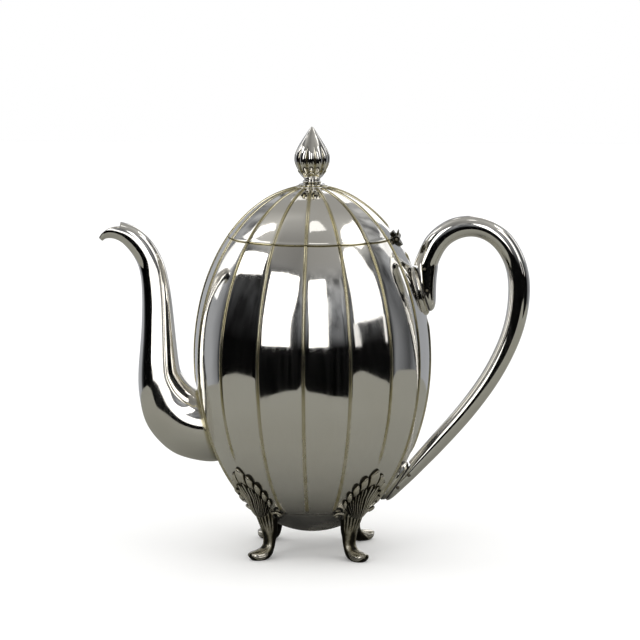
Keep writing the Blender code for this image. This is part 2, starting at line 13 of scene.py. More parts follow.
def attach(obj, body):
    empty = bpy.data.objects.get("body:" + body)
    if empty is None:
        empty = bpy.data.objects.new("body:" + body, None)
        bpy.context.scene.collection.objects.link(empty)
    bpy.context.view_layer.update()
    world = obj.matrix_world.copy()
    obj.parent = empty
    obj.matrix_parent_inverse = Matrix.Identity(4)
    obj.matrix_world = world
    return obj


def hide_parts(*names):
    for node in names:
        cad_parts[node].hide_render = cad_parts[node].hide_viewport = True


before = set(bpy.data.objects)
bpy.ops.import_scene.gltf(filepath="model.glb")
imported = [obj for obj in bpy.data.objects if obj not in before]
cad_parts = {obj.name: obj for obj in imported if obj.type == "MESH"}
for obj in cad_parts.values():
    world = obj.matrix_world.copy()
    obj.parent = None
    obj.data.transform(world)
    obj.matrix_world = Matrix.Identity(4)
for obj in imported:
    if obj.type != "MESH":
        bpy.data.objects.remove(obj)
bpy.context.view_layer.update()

MM = 0.001

# ---------------------------------------------------------------- sizes shared with the CAD

# The body is the upper and lower halves of an ellipse turned about Z.
BODY_RADIUS = 62.6
BODY_MID_Z = 103.9
BODY_TOP_REACH = 91.3
BODY_BOTTOM_REACH = 93.0
WALL = 1.2
SEAM_Z = 168.6  # between the body and the lid
SEAM_GAP = 0.14  # from the seam's middle to each edge
BASE_JOINT_Z = 26.0  # between the ribbed shell and the smooth base

STRAINER_MID_Z = 67.0
STRAINER_HOLE_RADIUS = 1.6
STRAINER_PITCH = 6.0

HINGE_X = 44.9
HINGE_Z = 168.3
KNUCKLE_RADIUS = 1.6
HINGE_BORE = 0.7
HINGE_AXLE_RADIUS = 0.66
HINGE_HALF_LENGTH = 9.0
LID_KNUCKLE_HALF = 3.0
HINGE_NOTCH_GAP = 0.35
HINGE_LEAF_FACES = (-0.35, 1.0)  # how far each leaf's two faces stand off the body
HINGE_LEAF_START = 0.9  # height between the pin's axis and the near edge of each leaf

# Handle joints: height of the middle of each on the body, and the oval of the handle's end.
UPPER_JOINT_Z = 140.3
LOWER_JOINT_Z = 37.8
UPPER_OVAL = (12.0, 6.0)
LOWER_OVAL = (11.0, 4.8)
HANDLE_FACE = 2.1

FOOT_ANGLES = {"front_left": 225, "front_right": 315, "back_left": 135, "back_right": 45}

# Sections along the spout, from inside the body to the lip: the side towards the pot, the far side and the
# half width in Y.
SPOUT_SECTIONS = [
    ((-50.0, 83.0), (-41.0, 52.0), 13.0),
    ((-61.3, 85.5), (-51.0, 47.2), 13.5),
    ((-62.6, 86.4), (-65.0, 48.6), 13.6),
    ((-64.2, 87.6), (-77.0, 53.6), 13.7),
    ((-66.6, 90.0), (-88.0, 66.0), 13.6),
    ((-69.2, 93.8), (-92.0, 80.5), 13.2),
    ((-71.0, 98.5), (-92.8, 95.0), 12.4),
    ((-73.0, 117.0), (-90.9, 117.5), 9.6),
    ((-75.0, 136.5), (-90.4, 137.0), 7.3),
    ((-78.2, 152.6), (-91.5, 149.6), 5.9),
    ((-84.2, 164.5), (-94.9, 157.5), 5.3),
    ((-92.6, 172.4), (-100.0, 163.6), 5.0),
    ((-101.4, 175.4), (-103.8, 166.0), 4.9),
    ((-107.8, 176.0), (-107.2, 166.7), 4.7),
    ((-111.7, 172.4), (-109.8, 166.3), 3.8),
    ((-113.3, 167.4), (-111.1, 165.3), 2.4),
]
SPOUT_WALL = 1.0
# The open mouth: where the cut through the top of the spout starts, and the curve that it follows.
MOUTH_EDGE = [(-101.0, 185.0), (-101.6, 172.6), (-106.9, 172.0), (-110.9, 169.8), (-114.0, 165.6)]

# Sections along the handle between its ends: the outer side, the inner side and the half width in Y.
HANDLE_SECTIONS = [
    ((61.2, 170.3), (71.4, 163.8), 6.0),
    ((74.2, 179.0), (79.0, 168.4), 5.7),
    ((89.8, 179.2), (87.7, 168.6), 5.4),
    ((103.9, 171.4), (96.0, 163.4), 5.6),
    ((112.8, 155.6), (102.0, 152.6), 5.7),
    ((114.9, 138.0), (103.4, 138.2), 5.7),
    ((110.9, 117.0), (100.6, 120.2), 5.4),
    ((100.6, 94.8), (91.8, 99.9), 5.1),
    ((86.4, 74.4), (78.9, 80.7), 4.9),
    ((70.4, 56.0), (63.6, 62.7), 4.8),
    ((59.2, 44.4), (54.2, 51.6), 4.8),
]

# Each end of the handle as (along, out) pairs in its joint's frame, and half widths. out 0 is the joint's
# face.
UPPER_END = [
    ((-12.0, -0.3), (-12.0, 0.3), 0.5),
    ((-11.7, -1.0), (-11.7, 1.0), 1.4),
    ((-11.0, -1.9), (-11.0, 2.0), 2.5),
    ((-9.6, -2.8), (-9.6, 3.0), 3.7),
    ((-7.0, -3.9), (-7.2, 4.1), 5.0),
    ((-3.0, -4.8), (-3.4, 5.3), 5.9),
    ((2.0, -4.7), (1.2, 6.8), 6.2),
    ((7.8, -3.6), (5.4, 8.4), 6.3),
    ((13.4, -2.2), (8.8, 9.9), 6.3),
    ((18.0, 0.95), (11.9, 11.3), 6.2),
]
LOWER_END = [
    ((10.8, 6.2), (13.0, -1.85), 4.8),
    ((6.6, 5.4), (8.0, -2.2), 4.8),
    ((0.6, 4.1), (1.6, -2.8), 4.7),
    ((-4.0, 3.1), (-4.0, -3.0), 4.4),
    ((-7.4, 2.3), (-7.4, -2.3), 3.6),
    ((-9.6, 1.5), (-9.6, -1.5), 2.5),
    ((-10.6, 0.8), (-10.6, -0.8), 1.4),
    ((-11.0, 0.3), (-11.0, -0.3), 0.5),
]
HANDLE_WALL = 1.1
HANDLE_SOLID_ROWS = 14  # sections at each tip that the hollow doesn't reach
HANDLE_CUT_TOP = {"upper": 13.75, "lower": 12.75}  # how far up each joint the handle is cut off square
PIN_RADIUS = 0.76
PIN_HOLE_RADIUS = 0.98
# Pins across the handle's ends: which joint, place along and out from it, and half length.
PINS = {
    "upper_pin_high": ("upper", 10.9, 5.5, 5.6),
    "upper_pin_low": ("upper", -0.4, 3.5, 5.6),
    "lower_pin_high": ("lower", 7.8, 3.9, 4.2),
    "lower_pin_low": ("lower", -1.2, 3.1, 4.2),
}

# Sections down a foot's leg in its own X-Z plane: the outer side, the inner side and the half width in Y.
LEG_SECTIONS = [
    ((41.4, 33.6), (33.0, 31.0), 7.6),
    ((38.7, 26.6), (27.0, 22.4), 6.6),
    ((36.0, 20.0), (25.6, 15.4), 5.2),
    ((33.6, 14.2), (26.6, 10.8), 4.3),
    ((32.4, 9.2), (28.0, 5.8), 4.0),
    ((33.8, 6.5), (30.6, 0.8), 4.2),
    ((37.2, 5.4), (35.6, -0.9), 4.5),
    ((40.9, 4.9), (40.2, -0.4), 3.9),
    ((43.1, 4.4), (43.2, 2.2), 1.9),
]
LEG_FLUTES = 18
LEAF_ROOT_Z = 26.0
LEAF_LOBES = [0.0, 14.0, 25.5, 37.5, 52.0]  # bearings of the lobes' tips, in degrees from upright
LEAF_EDGES = [8.0, 19.5, 31.5, 44.0, 60.0]  # bearings where each lobe ends
LEAF_REACH = 31.5  # from the root to the middle lobe's tip
LEAF_SIDE_REACH = 16.0  # from the root to the outermost lobe's tip
LEAF_NOTCH = 0.14
LEAF_ROOT_HEIGHT = 4.0
LEAF_ROOT_HALF = 4.6
ROOT_SLOPE = 0.66
LEAF_THICKNESS = (-0.95, -0.6)  # how far the leaf's back and its rim lie from the body's surface
CLIMB_STEP = 0.25


# ---------------------------------------------------------------- mesh helpers


def smooth_step(value, low, high):
    t = min(1.0, max(0.0, (value - low) / (high - low)))
    return t * t * (3 - 2 * t)


def window(z, low, high, fade=5.0):
    """1 between low and high, 0 outside them, with a soft step at each end."""
    return smooth_step(z, low - fade, low) * (1 - smooth_step(z, high, high + fade))


def round_angles(count, late=0.0):
    """Evenly spaced angles once round, in radians, started late by this share of a step."""
    return [2 * math.pi * (k + late) / count for k in range(count)]


def mesh_from(points, faces, name, tarnish_and_shade=None):
    """A mesh in metres from points in millimetres, with an optional value per point that drives the tarnish
    and, on the feet, painted shade.
    """
    mesh = bpy.data.meshes.new(name)
    mesh.from_pydata([(x * MM, y * MM, z * MM) for x, y, z in points], [], faces)
    if tarnish_and_shade is not None:
        mesh.attributes.new("tarnish_and_shade", "FLOAT", "POINT").data.foreach_set("value", tarnish_and_shade)
    bm = bmesh.new()
    bm.from_mesh(mesh)
    bmesh.ops.recalc_face_normals(bm, faces=bm.faces)
    bm.to_mesh(mesh)
    bm.free()
    mesh.shade_smooth()
    return mesh


def grid_faces(rows, columns, closed=False, wrap=False):
    """Quads over points stored row by row. closed joins the last column to the first, wrap the rows."""
    faces = []
    for r in range(rows if wrap else rows - 1):
        a, b = r * columns, ((r + 1) % rows) * columns
        for c in range(columns if closed else columns - 1):
            n = (c + 1) % columns
            faces.append((a + c, a + n, b + n, b + c))
    return faces


def plate_mesh(first, second, columns, name, tarnish_and_shade=None):
    """A closed plate between two grids of points, stored row by row and joined round their rims."""
    lift = len(first)
    rows = lift // columns
    faces = grid_faces(rows, columns)
    faces += [tuple(lift + i for i in face) for face in faces]
    rim = list(range(columns)) + [r * columns - 1 for r in range(2, rows)]
    rim += [lift - 1 - c for c in range(columns)] + [r * columns for r in range(rows - 2, 0, -1)]
    for a, b in zip(rim, rim[1:] + rim[:1]):
        faces.append((a, b, b + lift, a + lift))
    return mesh_from(first + second, faces, name, tarnish_and_shade)


def piece(name, mesh, body, look, node, crease=40, turn_z=0.0):
    """A finished piece that rides on a CAD body and replaces a CAD node."""
    if mesh.materials:
        mesh.materials[0] = look
    else:
        mesh.materials.append(look)
    mesh.shade_smooth()
    mesh.set_sharp_from_angle(angle=math.radians(crease))
    made = bpy.data.objects.new(name, mesh)
    made.rotation_euler.z = math.radians(turn_z)
    bpy.context.scene.collection.objects.link(made)
    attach(made, body)
    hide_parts(node)
    return made


def modified(mesh, kind, **settings):
    """The mesh that a modifier leaves."""
    host = bpy.data.objects.new("modifier_host", mesh)
    bpy.context.scene.collection.objects.link(host)
    modifier = host.modifiers.new("modifier", kind)
    for key, value in settings.items():
        setattr(modifier, key, value)
    graph = bpy.context.evaluated_depsgraph_get()
    result = bpy.data.meshes.new_from_object(host.evaluated_get(graph))
    bpy.data.objects.remove(host)
    return result


def combined(first, second, operation, solver="MANIFOLD"):
    """The mesh that a Boolean of two meshes leaves."""
    tool = bpy.data.objects.new("boolean_tool", second)
    bpy.context.scene.collection.objects.link(tool)
    result = modified(first, "BOOLEAN", operation=operation, solver=solver, object=tool)
    bpy.data.objects.remove(tool)
    return result


def cut(mesh, tool, solver="MANIFOLD"):
    return combined(mesh, tool, "DIFFERENCE", solver)


def softened(mesh, width):
    """The mesh with its sharp edges rounded."""
    return modified(mesh, "BEVEL", width=width * MM, segments=2, limit_method="ANGLE",
                    angle_limit=math.radians(40), use_clamp_overlap=True)


def aged(mesh, tarnish_and_shade):
    """The mesh with a tarnish value at each point: a number, or a function of the point's place in
    millimetres.
    """
    tarnish_and_shade_values = mesh.attributes.get("tarnish_and_shade") or mesh.attributes.new("tarnish_and_shade", "FLOAT", "POINT")
    tarnish_and_shade_values.data.foreach_set("value", [tarnish_and_shade(v.co / MM) if callable(tarnish_and_shade) else tarnish_and_shade for v in mesh.vertices])
    return mesh


def turned(profile, segments, name, tarnish_and_shade=None):
    """A profile of (radius, height) points turned about Z."""
    points, rings, tarnish_and_shade_values = [], [], []
    for k, (radius, height) in enumerate(profile):
        count = 1 if radius < 1e-6 else segments
        rings.append(range(len(points), len(points) + count))
        for a in round_angles(segments)[:count]:
            points.append((radius * math.cos(a), radius * math.sin(a), height))
            tarnish_and_shade_values.append(tarnish_and_shade(radius, height) if tarnish_and_shade else 0.0)
    pairs = list(zip(rings, rings[1:]))
    if len(rings[0]) > 1 and len(rings[-1]) > 1:
        pairs.append((rings[-1], rings[0]))
    faces = []
    for lower, upper in pairs:
        for s in range(segments):
            n = (s + 1) % segments
            corners = [ring[k % len(ring)] for ring, k in ((lower, s), (lower, n), (upper, n), (upper, s))]
            corners = list(dict.fromkeys(corners))
            if len(corners) > 2:
                faces.append(corners)
    return mesh_from(points, faces, name, tarnish_and_shade_values)


def rings_mesh(rings, name, tarnish_and_shade=None, capped=True):
    """A skin over rings of equal length, capped at both ends or joined last to first."""
    count = len(rings[0])
    points = [tuple(p) for ring in rings for p in ring]
    faces = grid_faces(len(rings), count, closed=True, wrap=not capped)
    if capped:
        faces.append(tuple(range(count)))
        faces.append(tuple(range(len(points) - count, len(points))))
    return mesh_from(points, faces, name, tarnish_and_shade)


def rod(start, end, radius, segments, name, dome=0.0):
    """A round bar between two points, with ends domed by the given height."""
    start, end = Vector(start), Vector(end)
    axis = (end - start).normalized()
    turn = axis.to_track_quat("Z", "Y")
    profile = [(1.0, 0.0)]
    if dome:
        profile = [(math.cos(a), math.sin(a) * dome) for a in (0.0, 0.4, 0.8, 1.15, 1.4)]
    stations = [(start - axis * out, radius * share) for share, out in profile[::-1]]
    stations += [(end + axis * out, radius * share) for share, out in profile]
    rings = []
    for point, reach in stations:
        around = [Vector((reach * math.cos(a), reach * math.sin(a), 0)) for a in round_angles(segments, 0.5)]
        rings.append([point + turn @ spot for spot in around])
    return rings_mesh(rings, name)


def slab(outline, half, name):
    """An outline of (x, z) points made solid, this far each way along Y."""
    return rings_mesh([[(x, y, z) for x, z in outline] for y in (-half, half)], name)


def through_points(values, steps):
    """Points on a Catmull-Rom curve through the given rows of numbers."""
    rows = [values[0], *values, values[-1]]
    made = []
    for before, a, b, after in zip(rows, rows[1:], rows[2:], rows[3:]):
        for step in range(steps):
            t = step / steps
            row = []
            for p0, p1, p2, p3 in zip(before, a, b, after):
                bend = 2 * p0 - 5 * p1 + 4 * p2 - p3
                twist = 3 * (p1 - p2) + p3 - p0
                row.append(p1 + 0.5 * t * (p2 - p0 + t * (bend + t * twist)))
            made.append(row)
    made.append(list(values[-1]))
    return made


def relaxed(rows, passes):
    """Rows of numbers with small wobbles along them averaged out."""
    for _ in range(passes):
        middle = [[(a + 2 * b + c) / 4 for a, b, c in zip(*three)] for three in zip(rows, rows[1:], rows[2:])]
        rows = [rows[0], *middle, rows[-1]]
    return rows


def section_rows(sections, steps, passes):
    """Closely spaced sections on smooth curves through the given ones."""
    return relaxed(through_points([(*a, *b, half) for a, b, half in sections], steps), passes)


def oval_rings(rows, segments, inset=0.0):
    """An oval ring of points round each section, moved in by inset."""
    rings = []
    for ax, az, bx, bz, half in rows:
        middle = Vector(((ax + bx) / 2, 0, (az + bz) / 2))
        arm = Vector(((ax - bx) / 2, 0, (az - bz) / 2))
        arm *= (arm.length - inset) / arm.length
        side = Vector((0, half - inset, 0))
        rings.append([middle + arm * math.cos(a) + side * math.sin(a) for a in round_angles(segments)])
    return rings


# ---------------------------------------------------------------- the body's surface


def half_height(z):
    """The reach of the half ellipse that height z is in."""
    return BODY_TOP_REACH if z > BODY_MID_Z else BODY_BOTTOM_REACH


def latitude(z):
    return math.asin(max(-1.0, min(1.0, (z - BODY_MID_Z) / half_height(z))))


def body_outline(z, offset=0.0):
    """Radius and height of the smooth body at height z, moved out along its normal."""
    t = latitude(z)
    normal = Vector((half_height(z) * math.cos(t), BODY_RADIUS * math.sin(t))).normalized()
    return BODY_RADIUS * math.cos(t) + offset * normal.x, z + offset * normal.y


def on_body(angle, z, offset=0.0):
    radius, height = body_outline(z, offset)
    return Vector((radius * math.cos(math.radians(angle)), radius * math.sin(math.radians(angle)), height))


def top_height(radius):
    """Height of the top of the body at this distance from its axis."""
    return BODY_MID_Z + BODY_TOP_REACH * math.sqrt(1 - (radius / BODY_RADIUS) ** 2)


def levels(low, high, count):
    """Heights from low to high, evenly spaced in latitude round the body's outline."""
    start, end = latitude(low), latitude(high)
    made = []
    for k in range(count + 1):
        t = start + (end - start) * k / count
        reach = BODY_TOP_REACH if t > 0 else BODY_BOTTOM_REACH
        made.append(BODY_MID_Z + reach * math.sin(t))
    return made


def body_solid():
    """A plain solid just inside the body's surface, which cuts what is soldered to it."""
    depth = 0.9
    low, high = BODY_MID_Z - BODY_BOTTOM_REACH, BODY_MID_Z + BODY_TOP_REACH
    outline = [body_outline(z, -depth) for z in levels(low + 0.1, high - 0.1, 60)]
    return turned([(0, low + depth), *outline, (0, high - depth)], 128, "body_solid")


RIB_COUNT = 16
RIB_STEP = 360 / RIB_COUNT
RIB_HEIGHT = 0.6
RIB_HALF_WIDTH = 0.78
RIB_GROOVE = 0.10  # depth of the groove on each side of a rib
RIB_ROOT = (26.6, 30.0)  # heights between which a rib rises out of the body
RIB_ROOT_OVER_FOOT = (52, 60)
# Where a rib sinks away under something: its bearing, lowest and highest z, the fade's length and how much
# goes.
RIB_GAPS = [
    (180, 47, 87, 5.0, 1.0),  # the spout's root
    (0, 20, 52, 5.0, 1.0),  # the lower joint
    (0, 126, 154, 5.0, 0.9),  # the upper joint
    (0, 161.5, 172.6, 2.4, 1.0),  # the hinge
]
# Columns of points: across a rib in half widths, and across a panel as shares of it.
RIB_COLUMNS = [-1.9, -1.35, -1.0, -0.85, -0.6, -0.3, 0.0, 0.3, 0.6, 0.85, 1.0, 1.35, 1.9]
PANEL_COLUMNS = [k / 11 for k in range(1, 11)]
PANEL_FLATTENING = 0.5  # 0 leaves the panels round, 1 makes them flat
ARC_RISE = 0.0192  # how far an arc of one rib's step rises over its chord, as a share of the radius
INNER_AGE = 0.24


def rib_strength(angle, z):
    """How fully the rib on this meridian stands at this height."""
    height = smooth_step(z, *RIB_ROOT)
    if angle % 90 == 45:
        height *= smooth_step(z, *RIB_ROOT_OVER_FOOT)
    for bearing_of_gap, low, high, fade, depth in RIB_GAPS:
        if angle == bearing_of_gap:
            height *= 1 - window(z, low, high, fade) * depth
    return height


def hand_finish(angle, z):
    """A few hundredths of a millimetre of unevenness, as hand polishing leaves it."""
    a = math.radians(angle)
    wave = math.sin(5 * a + z * 0.071) * math.sin(z * 0.093 + 1.3)
    wave += 0.6 * math.sin(11 * a - z * 0.045 + 0.7) * math.sin(z * 0.131 + 2 * math.sin(3 * a))
    wave += 0.35 * math.sin(23 * a + 1.1) * math.sin(z * 0.21 + 4 * math.sin(a))
    return 0.036 * wave


def bottom_darkening(z):
    """How much darker the pot is made towards its bottom."""
    return 0.16 * (1 - smooth_step(z, 24, 42)) + 0.2 * (1 - smooth_step(z, 11, 25))


def rib_point(across, strength):
    """How far a rib stands out, and its age, this many half widths from its middle."""
    c = abs(across)
    crest = math.sqrt(1 - c * c) ** 0.8 if c < 1 else 0.0
    groove = max(0.0, 1 - abs(c - 1.1) / 0.42)
    tarnish = 0.62 * (c < 0.9) + 0.5 * groove
    return crest * strength * RIB_HEIGHT, groove * strength * RIB_GROOVE, tarnish * strength


def ribbed_row(z, extra=0.0):
    """One level of the ribbed skin, and how dark each of its points is made, by tarnish on the ribs and
    darkening towards the bottom.
    """
    radius = body_outline(z)[0]
    half = min(math.degrees(RIB_HALF_WIDTH / max(radius, 1.0)), RIB_STEP * 0.16)
    squeeze = min(1.0, half / math.degrees(0.6 / max(radius, 1.0)))
    bulge = PANEL_FLATTENING * smooth_step(z, 18, 45) * ARC_RISE * radius
    points, tarnish_and_shade_values = [], []
    for k in range(RIB_COUNT):
        rib = k * RIB_STEP
        strength = rib_strength(rib, z)
        stations = [(rib + c * half, c) for c in RIB_COLUMNS]
        start, end = rib + RIB_COLUMNS[-1] * half, rib + RIB_STEP + RIB_COLUMNS[0] * half
        stations += [(start + (end - start) * share, None) for share in PANEL_COLUMNS]
        for angle, across in stations:
            u = 2 * ((angle - rib) % RIB_STEP) / RIB_STEP - 1
            offset = extra - bulge * (1 - u * u) + hand_finish(angle, z)
            tarnish_and_shade = bottom_darkening(z)
            if across is not None:
                crest, groove, tarnish = rib_point(across, strength)
                offset += crest * squeeze - groove
                tarnish_and_shade += tarnish
            points.append(on_body(angle, z, offset))
            tarnish_and_shade_values.append(min(1.0, tarnish_and_shade))
    return points, tarnish_and_shade_values


def shell_mesh(heights, name, lip=None):
    """The ribbed skin with its inner wall. lip(z) adds to the outer skin, which is dark right at the seam."""
    points, tarnish_and_shade_values = [], []
    for z in heights:
        row, tarnish_and_shade = ribbed_row(z, lip(z) if lip else 0.0)
        dark = 1 - smooth_step(abs(z - SEAM_Z), SEAM_GAP + 0.1, SEAM_GAP + 0.5)
        points += row
        tarnish_and_shade_values += [max(value, dark) for value in tarnish_and_shade]
    columns = len(row)
    inner_heights = heights[::-3]
    if inner_heights[-1] != heights[0]:
        inner_heights.append(heights[0])
    for z in inner_heights:
        points += [on_body(360 * k / columns, z, -WALL) for k in range(columns)]
        tarnish_and_shade_values += [INNER_AGE] * columns
    faces = grid_faces(len(heights) + len(inner_heights), columns, closed=True, wrap=True)
    return mesh_from(points, faces, name, tarnish_and_shade_values)


# ---------------------------------------------------------------- materials


class Nodes:
    """Shorthand for building the nodes of a material or a world."""

    def __init__(self, owner):
        owner.use_nodes = True
        self.nodes, self.links = owner.node_tree.nodes, owner.node_tree.links
        self.place = None

    def feed(self, socket, value):
        """Links a value that comes from a node, or sets a number, a vector or a colour."""
        if isinstance(value, bpy.types.NodeSocket):
            self.links.new(value, socket)
        elif socket.type == "RGBA":
            socket.default_value = (*value, 1.0)
        else:
            socket.default_value = value

    def add(self, kind, inputs=(), **settings):
        made = self.nodes.new(kind)
        for key, value in settings.items():
            setattr(made, key, value)
        for key, value in dict(inputs).items():
            self.feed(made.inputs[key], value)
        return made

    def stretched(self, scale):
        return self.add("ShaderNodeMapping", {"Vector": self.place, "Scale": scale}).outputs["Vector"]

    def noise(self, scale, detail=3.0, roughness=0.5, vector=None):
        inputs = {"Vector": vector or self.place, "Scale": scale, "Detail": detail, "Roughness": roughness}
        return self.add("ShaderNodeTexNoise", inputs).outputs["Fac"]

    def fit(self, value, low, high, out_low=0.0, out_high=1.0):
        inputs = {"Value": value, "From Min": low, "From Max": high, "To Min": out_low, "To Max": out_high}
        return self.add("ShaderNodeMapRange", inputs).outputs["Result"]

    def math(self, operation, first, second=0.0, clamp=False):
        made = self.add("ShaderNodeMath", {0: first, 1: second}, operation=operation, use_clamp=clamp)
        return made.outputs[0]

    def blend(self, factor, first, second):
        return self.add("ShaderNodeMix", {0: factor, 6: first, 7: second}, data_type="RGBA").outputs[2]

    def ramp(self, value, stops):
        """A colour ramp over value, with its stops given in order as (position, colour)."""
        made = self.add("ShaderNodeValToRGB", {0: value})
        elements = made.color_ramp.elements
        elements[0].position, elements[-1].position = stops[0][0], stops[-1][0]
        for position, _ in stops[1:-1]:
            elements.new(position)
        for element, (_, colour) in zip(elements, stops):
            element.color = (*colour, 1.0)
        return made.outputs["Color"]


class Look(Nodes):
    """One material's nodes, with textures in the object's own coordinates."""

    def __init__(self, name):
        self.material = bpy.data.materials.new(name)
        super().__init__(self.material)
        self.shader = self.nodes["Principled BSDF"]
        self.place = self.add("ShaderNodeTexCoord").outputs["Object"]

    def finish(self, colour, roughness, height=None, bump=0.1, metallic=1.0):
        """The material with its colour, roughness and, from height, its fine relief."""
        for key, value in (("Base Color", colour), ("Roughness", roughness), ("Metallic", metallic)):
            self.feed(self.shader.inputs[key], value)
        if height is not None:
            relief = self.add("ShaderNodeBump", {"Height": height, "Distance": 0.0001, "Strength": bump})
            self.feed(self.shader.inputs["Normal"], relief.outputs["Normal"])
        return self.material


BRIGHT = (0.90, 0.885, 0.85)
WARM = (0.80, 0.765, 0.69)
TARNISH = (0.44, 0.385, 0.185)
OLD = (0.16, 0.135, 0.085)


def polished_silver(name, base_roughness=0.035, brushed=0.0, wiping=(6.0, 6.0, 0.35)):
    """Mirror silver with wiping marks and warm clouds of tarnish, darker where age says so.

    brushed adds roughness to the lower half of the pot; wiping stretches the marks along the panels.
    """
    tree = Look(name)
    clouds = tree.noise(26.0, 4.0, 0.55)
    streaks = tree.noise(90.0, 3.0, 0.6, tree.stretched(wiping))
    specks = tree.noise(1400.0, 2.0, 0.5)
    base = tree.blend(tree.fit(clouds, 0.42, 0.78, 0.0, 0.5), BRIGHT, WARM)
    tarnish_and_shade = tree.add("ShaderNodeAttribute", attribute_name="tarnish_and_shade").outputs["Fac"]
    uneven = tree.fit(tree.noise(55.0, 2.0), 0.3, 0.7, 0.7, 1.1)
    tarnish_and_shade_level = tree.math("MULTIPLY", tarnish_and_shade, uneven, clamp=True)
    tarnished = tree.blend(tree.fit(tarnish_and_shade_level, 0.0, 0.75, 0.0, 1.0), base, TARNISH)
    colour = tree.blend(tree.fit(tarnish_and_shade_level, 0.7, 1.0, 0.0, 0.85), tarnished, OLD)
    rough = tree.fit(streaks, 0.3, 0.75, base_roughness, base_roughness + 0.06)
    rough = tree.math("ADD", rough, tree.fit(clouds, 0.5, 0.8, 0.0, 0.04))
    rough = tree.math("ADD", rough, tree.math("MULTIPLY", tarnish_and_shade_level, 0.2))
    if brushed:
        split = tree.add("ShaderNodeSeparateXYZ", {0: tree.place})
        low = tree.fit(split.outputs["Z"], 0.094, 0.060, 0.0, brushed)
        rough = tree.math("ADD", rough, tree.math("MULTIPLY", low, tree.fit(streaks, 0.3, 0.7, 0.6, 1.3)))
        colour = tree.blend(tree.math("MULTIPLY", low, tree.fit(streaks, 0.35, 0.7, 0.0, 3.0)), colour, WARM)
    height = tree.math("ADD", tree.math("MULTIPLY", streaks, 0.6), tree.math("MULTIPLY", specks, 0.25))
    return tree.finish(colour, rough, height, 0.05)


def cast_silver(name):
    """Cast pieces: bright where they are rubbed, near black in the tarnished recesses and in the painted
    shade on the feet, with a faintly pitted skin.
    """
    tree = Look(name)
    tarnish_and_shade = tree.add("ShaderNodeAttribute", attribute_name="tarnish_and_shade").outputs["Fac"]
    clouds = tree.noise(180.0, 4.0, 0.6)
    pits = tree.noise(900.0, 3.0, 0.6)
    uneven = tree.fit(clouds, 0.3, 0.7, -0.16, 0.16)
    tarnish_and_shade_level = tree.math("ADD", tarnish_and_shade, uneven, clamp=True)
    light = tree.blend(tree.fit(clouds, 0.35, 0.7, 0.0, 0.8), (0.82, 0.79, 0.72), (0.62, 0.57, 0.45))
    middle = tree.blend(tree.fit(tarnish_and_shade_level, 0.15, 0.6, 0.0, 1.0), light, (0.32, 0.29, 0.19))
    colour = tree.blend(tree.fit(tarnish_and_shade_level, 0.42, 0.76, 0.0, 1.0), middle, (0.018, 0.016, 0.011))
    rough = tree.math("ADD", tree.fit(tarnish_and_shade_level, 0.0, 1.0, 0.12, 0.48), tree.fit(pits, 0.3, 0.7, 0.0, 0.08))
    height = tree.math("ADD", tree.math("MULTIPLY", pits, 0.6), tree.math("MULTIPLY", clouds, 0.8))
    return tree.finish(colour, rough, height, 0.35)


def pin_metal(name):
    tree = Look(name)
    turned_marks = tree.noise(700.0, 2.0, 0.5, tree.stretched((1.0, 0.2, 1.0)))
    clouds = tree.noise(300.0, 3.0)
    colour = tree.blend(tree.fit(clouds, 0.35, 0.7, 0.0, 1.0), (0.40, 0.37, 0.31), (0.16, 0.135, 0.095))
    rough = tree.fit(turned_marks, 0.3, 0.7, 0.22, 0.42)
    return tree.finish(colour, rough, turned_marks, 0.2)


def inner_silver(name):
    """The less polished silver inside the mouth and under the lid."""
    tree = Look(name)
    clouds = tree.noise(60.0, 4.0, 0.6)
    lines = tree.noise(400.0, 2.0, 0.5, tree.stretched((0.3, 0.3, 4.0)))
    colour = tree.blend(tree.fit(clouds, 0.35, 0.7, 0.0, 1.0), (0.78, 0.76, 0.71), (0.58, 0.53, 0.41))
    rough = tree.fit(lines, 0.3, 0.7, 0.14, 0.30)
    return tree.finish(colour, rough, lines, 0.25)


def insulator_black(name):
    tree = Look(name)
    grain = tree.noise(800.0, 3.0, 0.6)
    colour = tree.blend(tree.fit(grain, 0.3, 0.7, 0.0, 1.0), (0.022, 0.018, 0.015), (0.060, 0.050, 0.042))
    return tree.finish(colour, tree.fit(grain, 0.3, 0.7, 0.42, 0.62), grain, 0.3, metallic=0.0)


SILVER = polished_silver("polished_silver")
BODY_SILVER = polished_silver("body_silver", brushed=0.12)
BASE_SILVER = polished_silver("base_silver", brushed=0.12, wiping=(0.6, 0.6, 0.6))
FINIAL_SILVER = polished_silver("finial_silver", base_roughness=0.05)
CAST = cast_silver("cast_silver")
PIN = pin_metal("pin_metal")
INNER = inner_silver("inner_silver")
BLACK = insulator_black("insulator")


# ---------------------------------------------------------------- body and lid


def hinge_rod(radius, low_y, high_y, name, segments=48, dome=0.0):
    """A round bar on the hinge's axis."""
    return rod((HINGE_X, low_y, HINGE_Z), (HINGE_X, high_y, HINGE_Z), radius, segments, name, dome)


def notched(shell):
    """The shell with room cut out of it for the hinge."""
    reach = HINGE_HALF_LENGTH + HINGE_NOTCH_GAP
    return cut(shell, hinge_rod(KNUCKLE_RADIUS + HINGE_NOTCH_GAP, -reach, reach, "notch"))


def pierced(shell):
    """The shell with the strainer's holes in it, in staggered rows behind the spout."""
    for row in range(-2, 3):
        for column in (-1, 0, 1):
            y = column * STRAINER_PITCH + (STRAINER_PITCH / 2 if row % 2 else 0.0)
            z = STRAINER_MID_Z + row * STRAINER_PITCH * math.sqrt(3) / 2
            if abs(y) <= STRAINER_PITCH * 1.3:
                shell = cut(shell, rod((-75, y, z), (-40, y, z), STRAINER_HOLE_RADIUS, 24, "strainer_hole"))
    return shell


